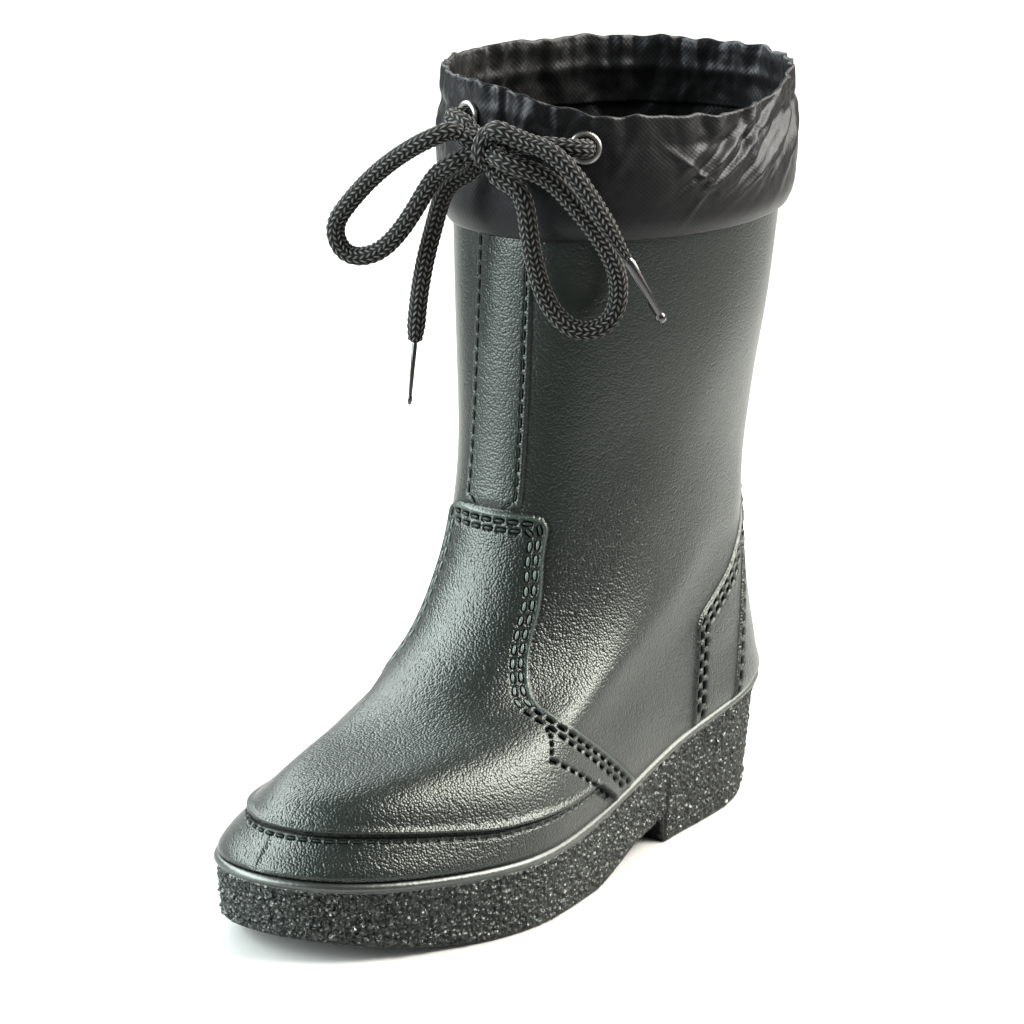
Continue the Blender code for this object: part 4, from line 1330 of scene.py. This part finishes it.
def make_knot(settings, finish):
    """One turn of cord drawn tight over the crossing, with the strands running into it."""
    form = new_form("crest")
    turns = np.linspace(-0.75 * math.pi, 1.35 * math.pi, 15)
    wrap = [KNOT_AT + Vector((3.1 * math.cos(a), 1.7 + 0.6 * a, 3.6 * math.sin(a))) for a in turns]
    braid(form, wrap, settings)
    ways = [strand.leave for strand in STRANDS] + [strand.back for strand in STRANDS if strand.back]
    for way in ways + [run.leave for run in RUNS]:
        out = Vector(way).normalized()
        start = KNOT_AT + out * 1.0
        end = KNOT_AT + out * (KNOT_RADIUS + 2 * GAP + 0.4)
        braid(form, [start.lerp(end, share) for share in (0, 0.35, 0.7, 1)], settings)
    return piece("bow_knot", form, finish, "cord_braid", "cord_knot")


def make_tips():
    """A thin moulded tip on each free end of the cord."""
    finish = tip_finish()
    made = {}
    routes = {strand.name: smooth_route(strand_route(strand), 5.0) for strand in STRANDS}
    for tip in TIPS:
        last, before = (Vector(routes[tip.cord][i]) for i in (-1, -2))
        start = last - (last - before).normalized() * 1.5
        along = Vector(tip.far) - start
        tall, end = along.length, tip.end_radius
        profile = [(0.02, 0), (tip.radius * 0.6, 0.4), (tip.radius, 2.4), (end, tall - 3.2),
                   (end * 0.9, tall - 2.8), (end * 1.15, tall - 2.2), (end * 1.25, tall - 1.4),
                   (end, tall - 0.5), (0.02, tall)]
        form = turned(profile, start, along, TIP_STEPS)
        made[tip.cord] = piece(tip.name + "_tip", form, finish, "aglet_plastic", tip.name)
    return made


COOL, WARM, PLAIN = (0.92, 1.0, 0.98), (1.0, 0.96, 0.87), (1.0, 1.0, 1.0)
Lamp = namedtuple("Lamp", "name place size power colour")
LAMPS = [
    Lamp("left", (1.02, -0.8, 0.62), (1.2, 1.1), 54, COOL),
    Lamp("left core", (0.42, -1.04, 0.8), (0.45, 0.5), 9, COOL),
    Lamp("back left", (-0.2, -1.1, 0.94), (1.2, 0.7), 24, COOL),
    Lamp("right", (-0.82, 0.69, 1.0), (1.7, 1.4), 64, WARM),
    Lamp("right core", (-0.5, 0.86, 1.05), (0.6, 0.5), 26, WARM),
    Lamp("right low", (-0.79, 1.12, 0.4), (1.3, 0.5), 3, WARM),
    Lamp("backdrop", (-1.54, -1.12, 0.75), (2.6, 1.1), 5, PLAIN),
]
MIDDLE = Vector((0, 0, 0.095))          # what the lamps and the camera aim at
FLOOR_HALF, FLOOR_DROP = 4.0, 0.0002


def add_lamp(lamp):
    """A rectangle of soft light, aimed at the boot."""
    data = bpy.data.lights.new(lamp.name, "AREA")
    data.shape = "RECTANGLE"
    data.size, data.size_y = lamp.size
    data.energy, data.color = lamp.power, lamp.colour
    made = show(lamp.name, data)
    made.location = lamp.place
    made.rotation_euler = (MIDDLE - Vector(lamp.place)).to_track_quat("-Z", "Y").to_euler()


def make_stage(settings):
    """Pale floor, soft studio light and the camera."""
    form = bmesh.new()
    bmesh.ops.create_grid(form, x_segments=2, y_segments=2, size=FLOOR_HALF)
    mesh = bpy.data.meshes.new("floor")
    form.to_mesh(mesh)
    form.free()
    mesh.materials.append(floor_finish())
    floor = show("floor", mesh)
    floor.location.z = -FLOOR_DROP

    world = bpy.data.worlds.new("studio")
    world.use_nodes = True
    sky = world.node_tree.nodes["Background"].inputs
    sky["Color"].default_value = (1, 1, 1, 1)
    sky["Strength"].default_value = 0.2
    bpy.context.scene.world = world
    for lamp in LAMPS:
        add_lamp(lamp)
    bpy.context.scene.view_settings.view_transform = "Standard"

    data = bpy.data.cameras.new("camera")
    data.sensor_width, data.lens = 36.0, settings.lens
    camera = show("camera", data)
    flat = math.cos(settings.rise)
    way = Vector((flat * math.cos(settings.turn), flat * math.sin(settings.turn), math.sin(settings.rise)))
    camera.location = MIDDLE + way * settings.distance
    camera.rotation_euler = (-way).to_track_quat("-Z", "Y").to_euler()
    bpy.context.scene.camera = camera


class BOOT_OT_stage(bpy.types.Operator):
    """Set up the floor, the studio light and the camera"""
    bl_idname = "boot.stage"
    bl_label = "Stage"

    def execute(self, context):
        make_stage(context.scene.boot_stage)
        return {"FINISHED"}


class BOOT_OT_cord(bpy.types.Operator):
    """Braid the drawcord, its knot and its tips"""
    bl_idname = "boot.cord"
    bl_label = "Drawcord"

    def execute(self, context):
        make_cord(context.scene.boot_cord)
        return {"FINISHED"}


class BOOT_OT_upper(bpy.types.Operator):
    """Mould the upper with its overlays, stitches and lining"""
    bl_idname = "boot.upper"
    bl_label = "Upper"

    def execute(self, context):
        stitches = stitch_places()
        make_upper(context.scene.boot_rubber, stitches)
        make_stitches(context.scene.boot_rubber, stitches)
        make_lining()
        return {"FINISHED"}


class BOOT_OT_outsole(bpy.types.Operator):
    """Model the crepe sole and the insole"""
    bl_idname = "boot.outsole"
    bl_label = "Sole"

    def execute(self, context):
        make_outsole(context.scene.boot_sole)
        make_insole()
        return {"FINISHED"}


class BOOT_OT_cuff(bpy.types.Operator):
    """Sew the cloth cuff and set its eyelets"""
    bl_idname = "boot.cuff"
    bl_label = "Cuff"

    def execute(self, context):
        make_cuff(context.scene.boot_cuff)
        make_eyelets()
        return {"FINISHED"}


class BOOT_PT_pieces(bpy.types.Panel):
    bl_idname = "BOOT_PT_pieces"
    bl_label = "Kids Rubber Boot"
    bl_space_type = "VIEW_3D"
    bl_region_type = "UI"
    bl_category = "Boot"

    def draw(self, context):
        for name in SETTINGS:
            for key in getattr(context.scene, name).bl_rna.properties.keys():
                if key not in ("rna_type", "name"):
                    self.layout.prop(getattr(context.scene, name), key)
        for operator in OPERATORS:
            self.layout.operator(operator.bl_idname)


SETTINGS = {"boot_stage": StageSettings, "boot_cord": CordSettings, "boot_rubber": RubberSettings,
            "boot_sole": SoleSettings, "boot_cuff": CuffSettings}
OPERATORS = (BOOT_OT_stage, BOOT_OT_cord, BOOT_OT_upper, BOOT_OT_outsole, BOOT_OT_cuff)


def register():
    for kind in (*SETTINGS.values(), *OPERATORS, BOOT_PT_pieces):
        bpy.utils.register_class(kind)
    for name, kind in SETTINGS.items():
        setattr(bpy.types.Scene, name, PointerProperty(type=kind))


def unregister():
    for name in SETTINGS:
        delattr(bpy.types.Scene, name)
    for kind in (BOOT_PT_pieces, *reversed(OPERATORS), *reversed(SETTINGS.values())):
        bpy.utils.unregister_class(kind)


def main():
    register()
    bpy.ops.boot.stage()
    bpy.ops.boot.cord()
    bpy.ops.boot.upper()
    bpy.ops.boot.outsole()
    bpy.ops.boot.cuff()


if __name__ == "__main__":
    main()
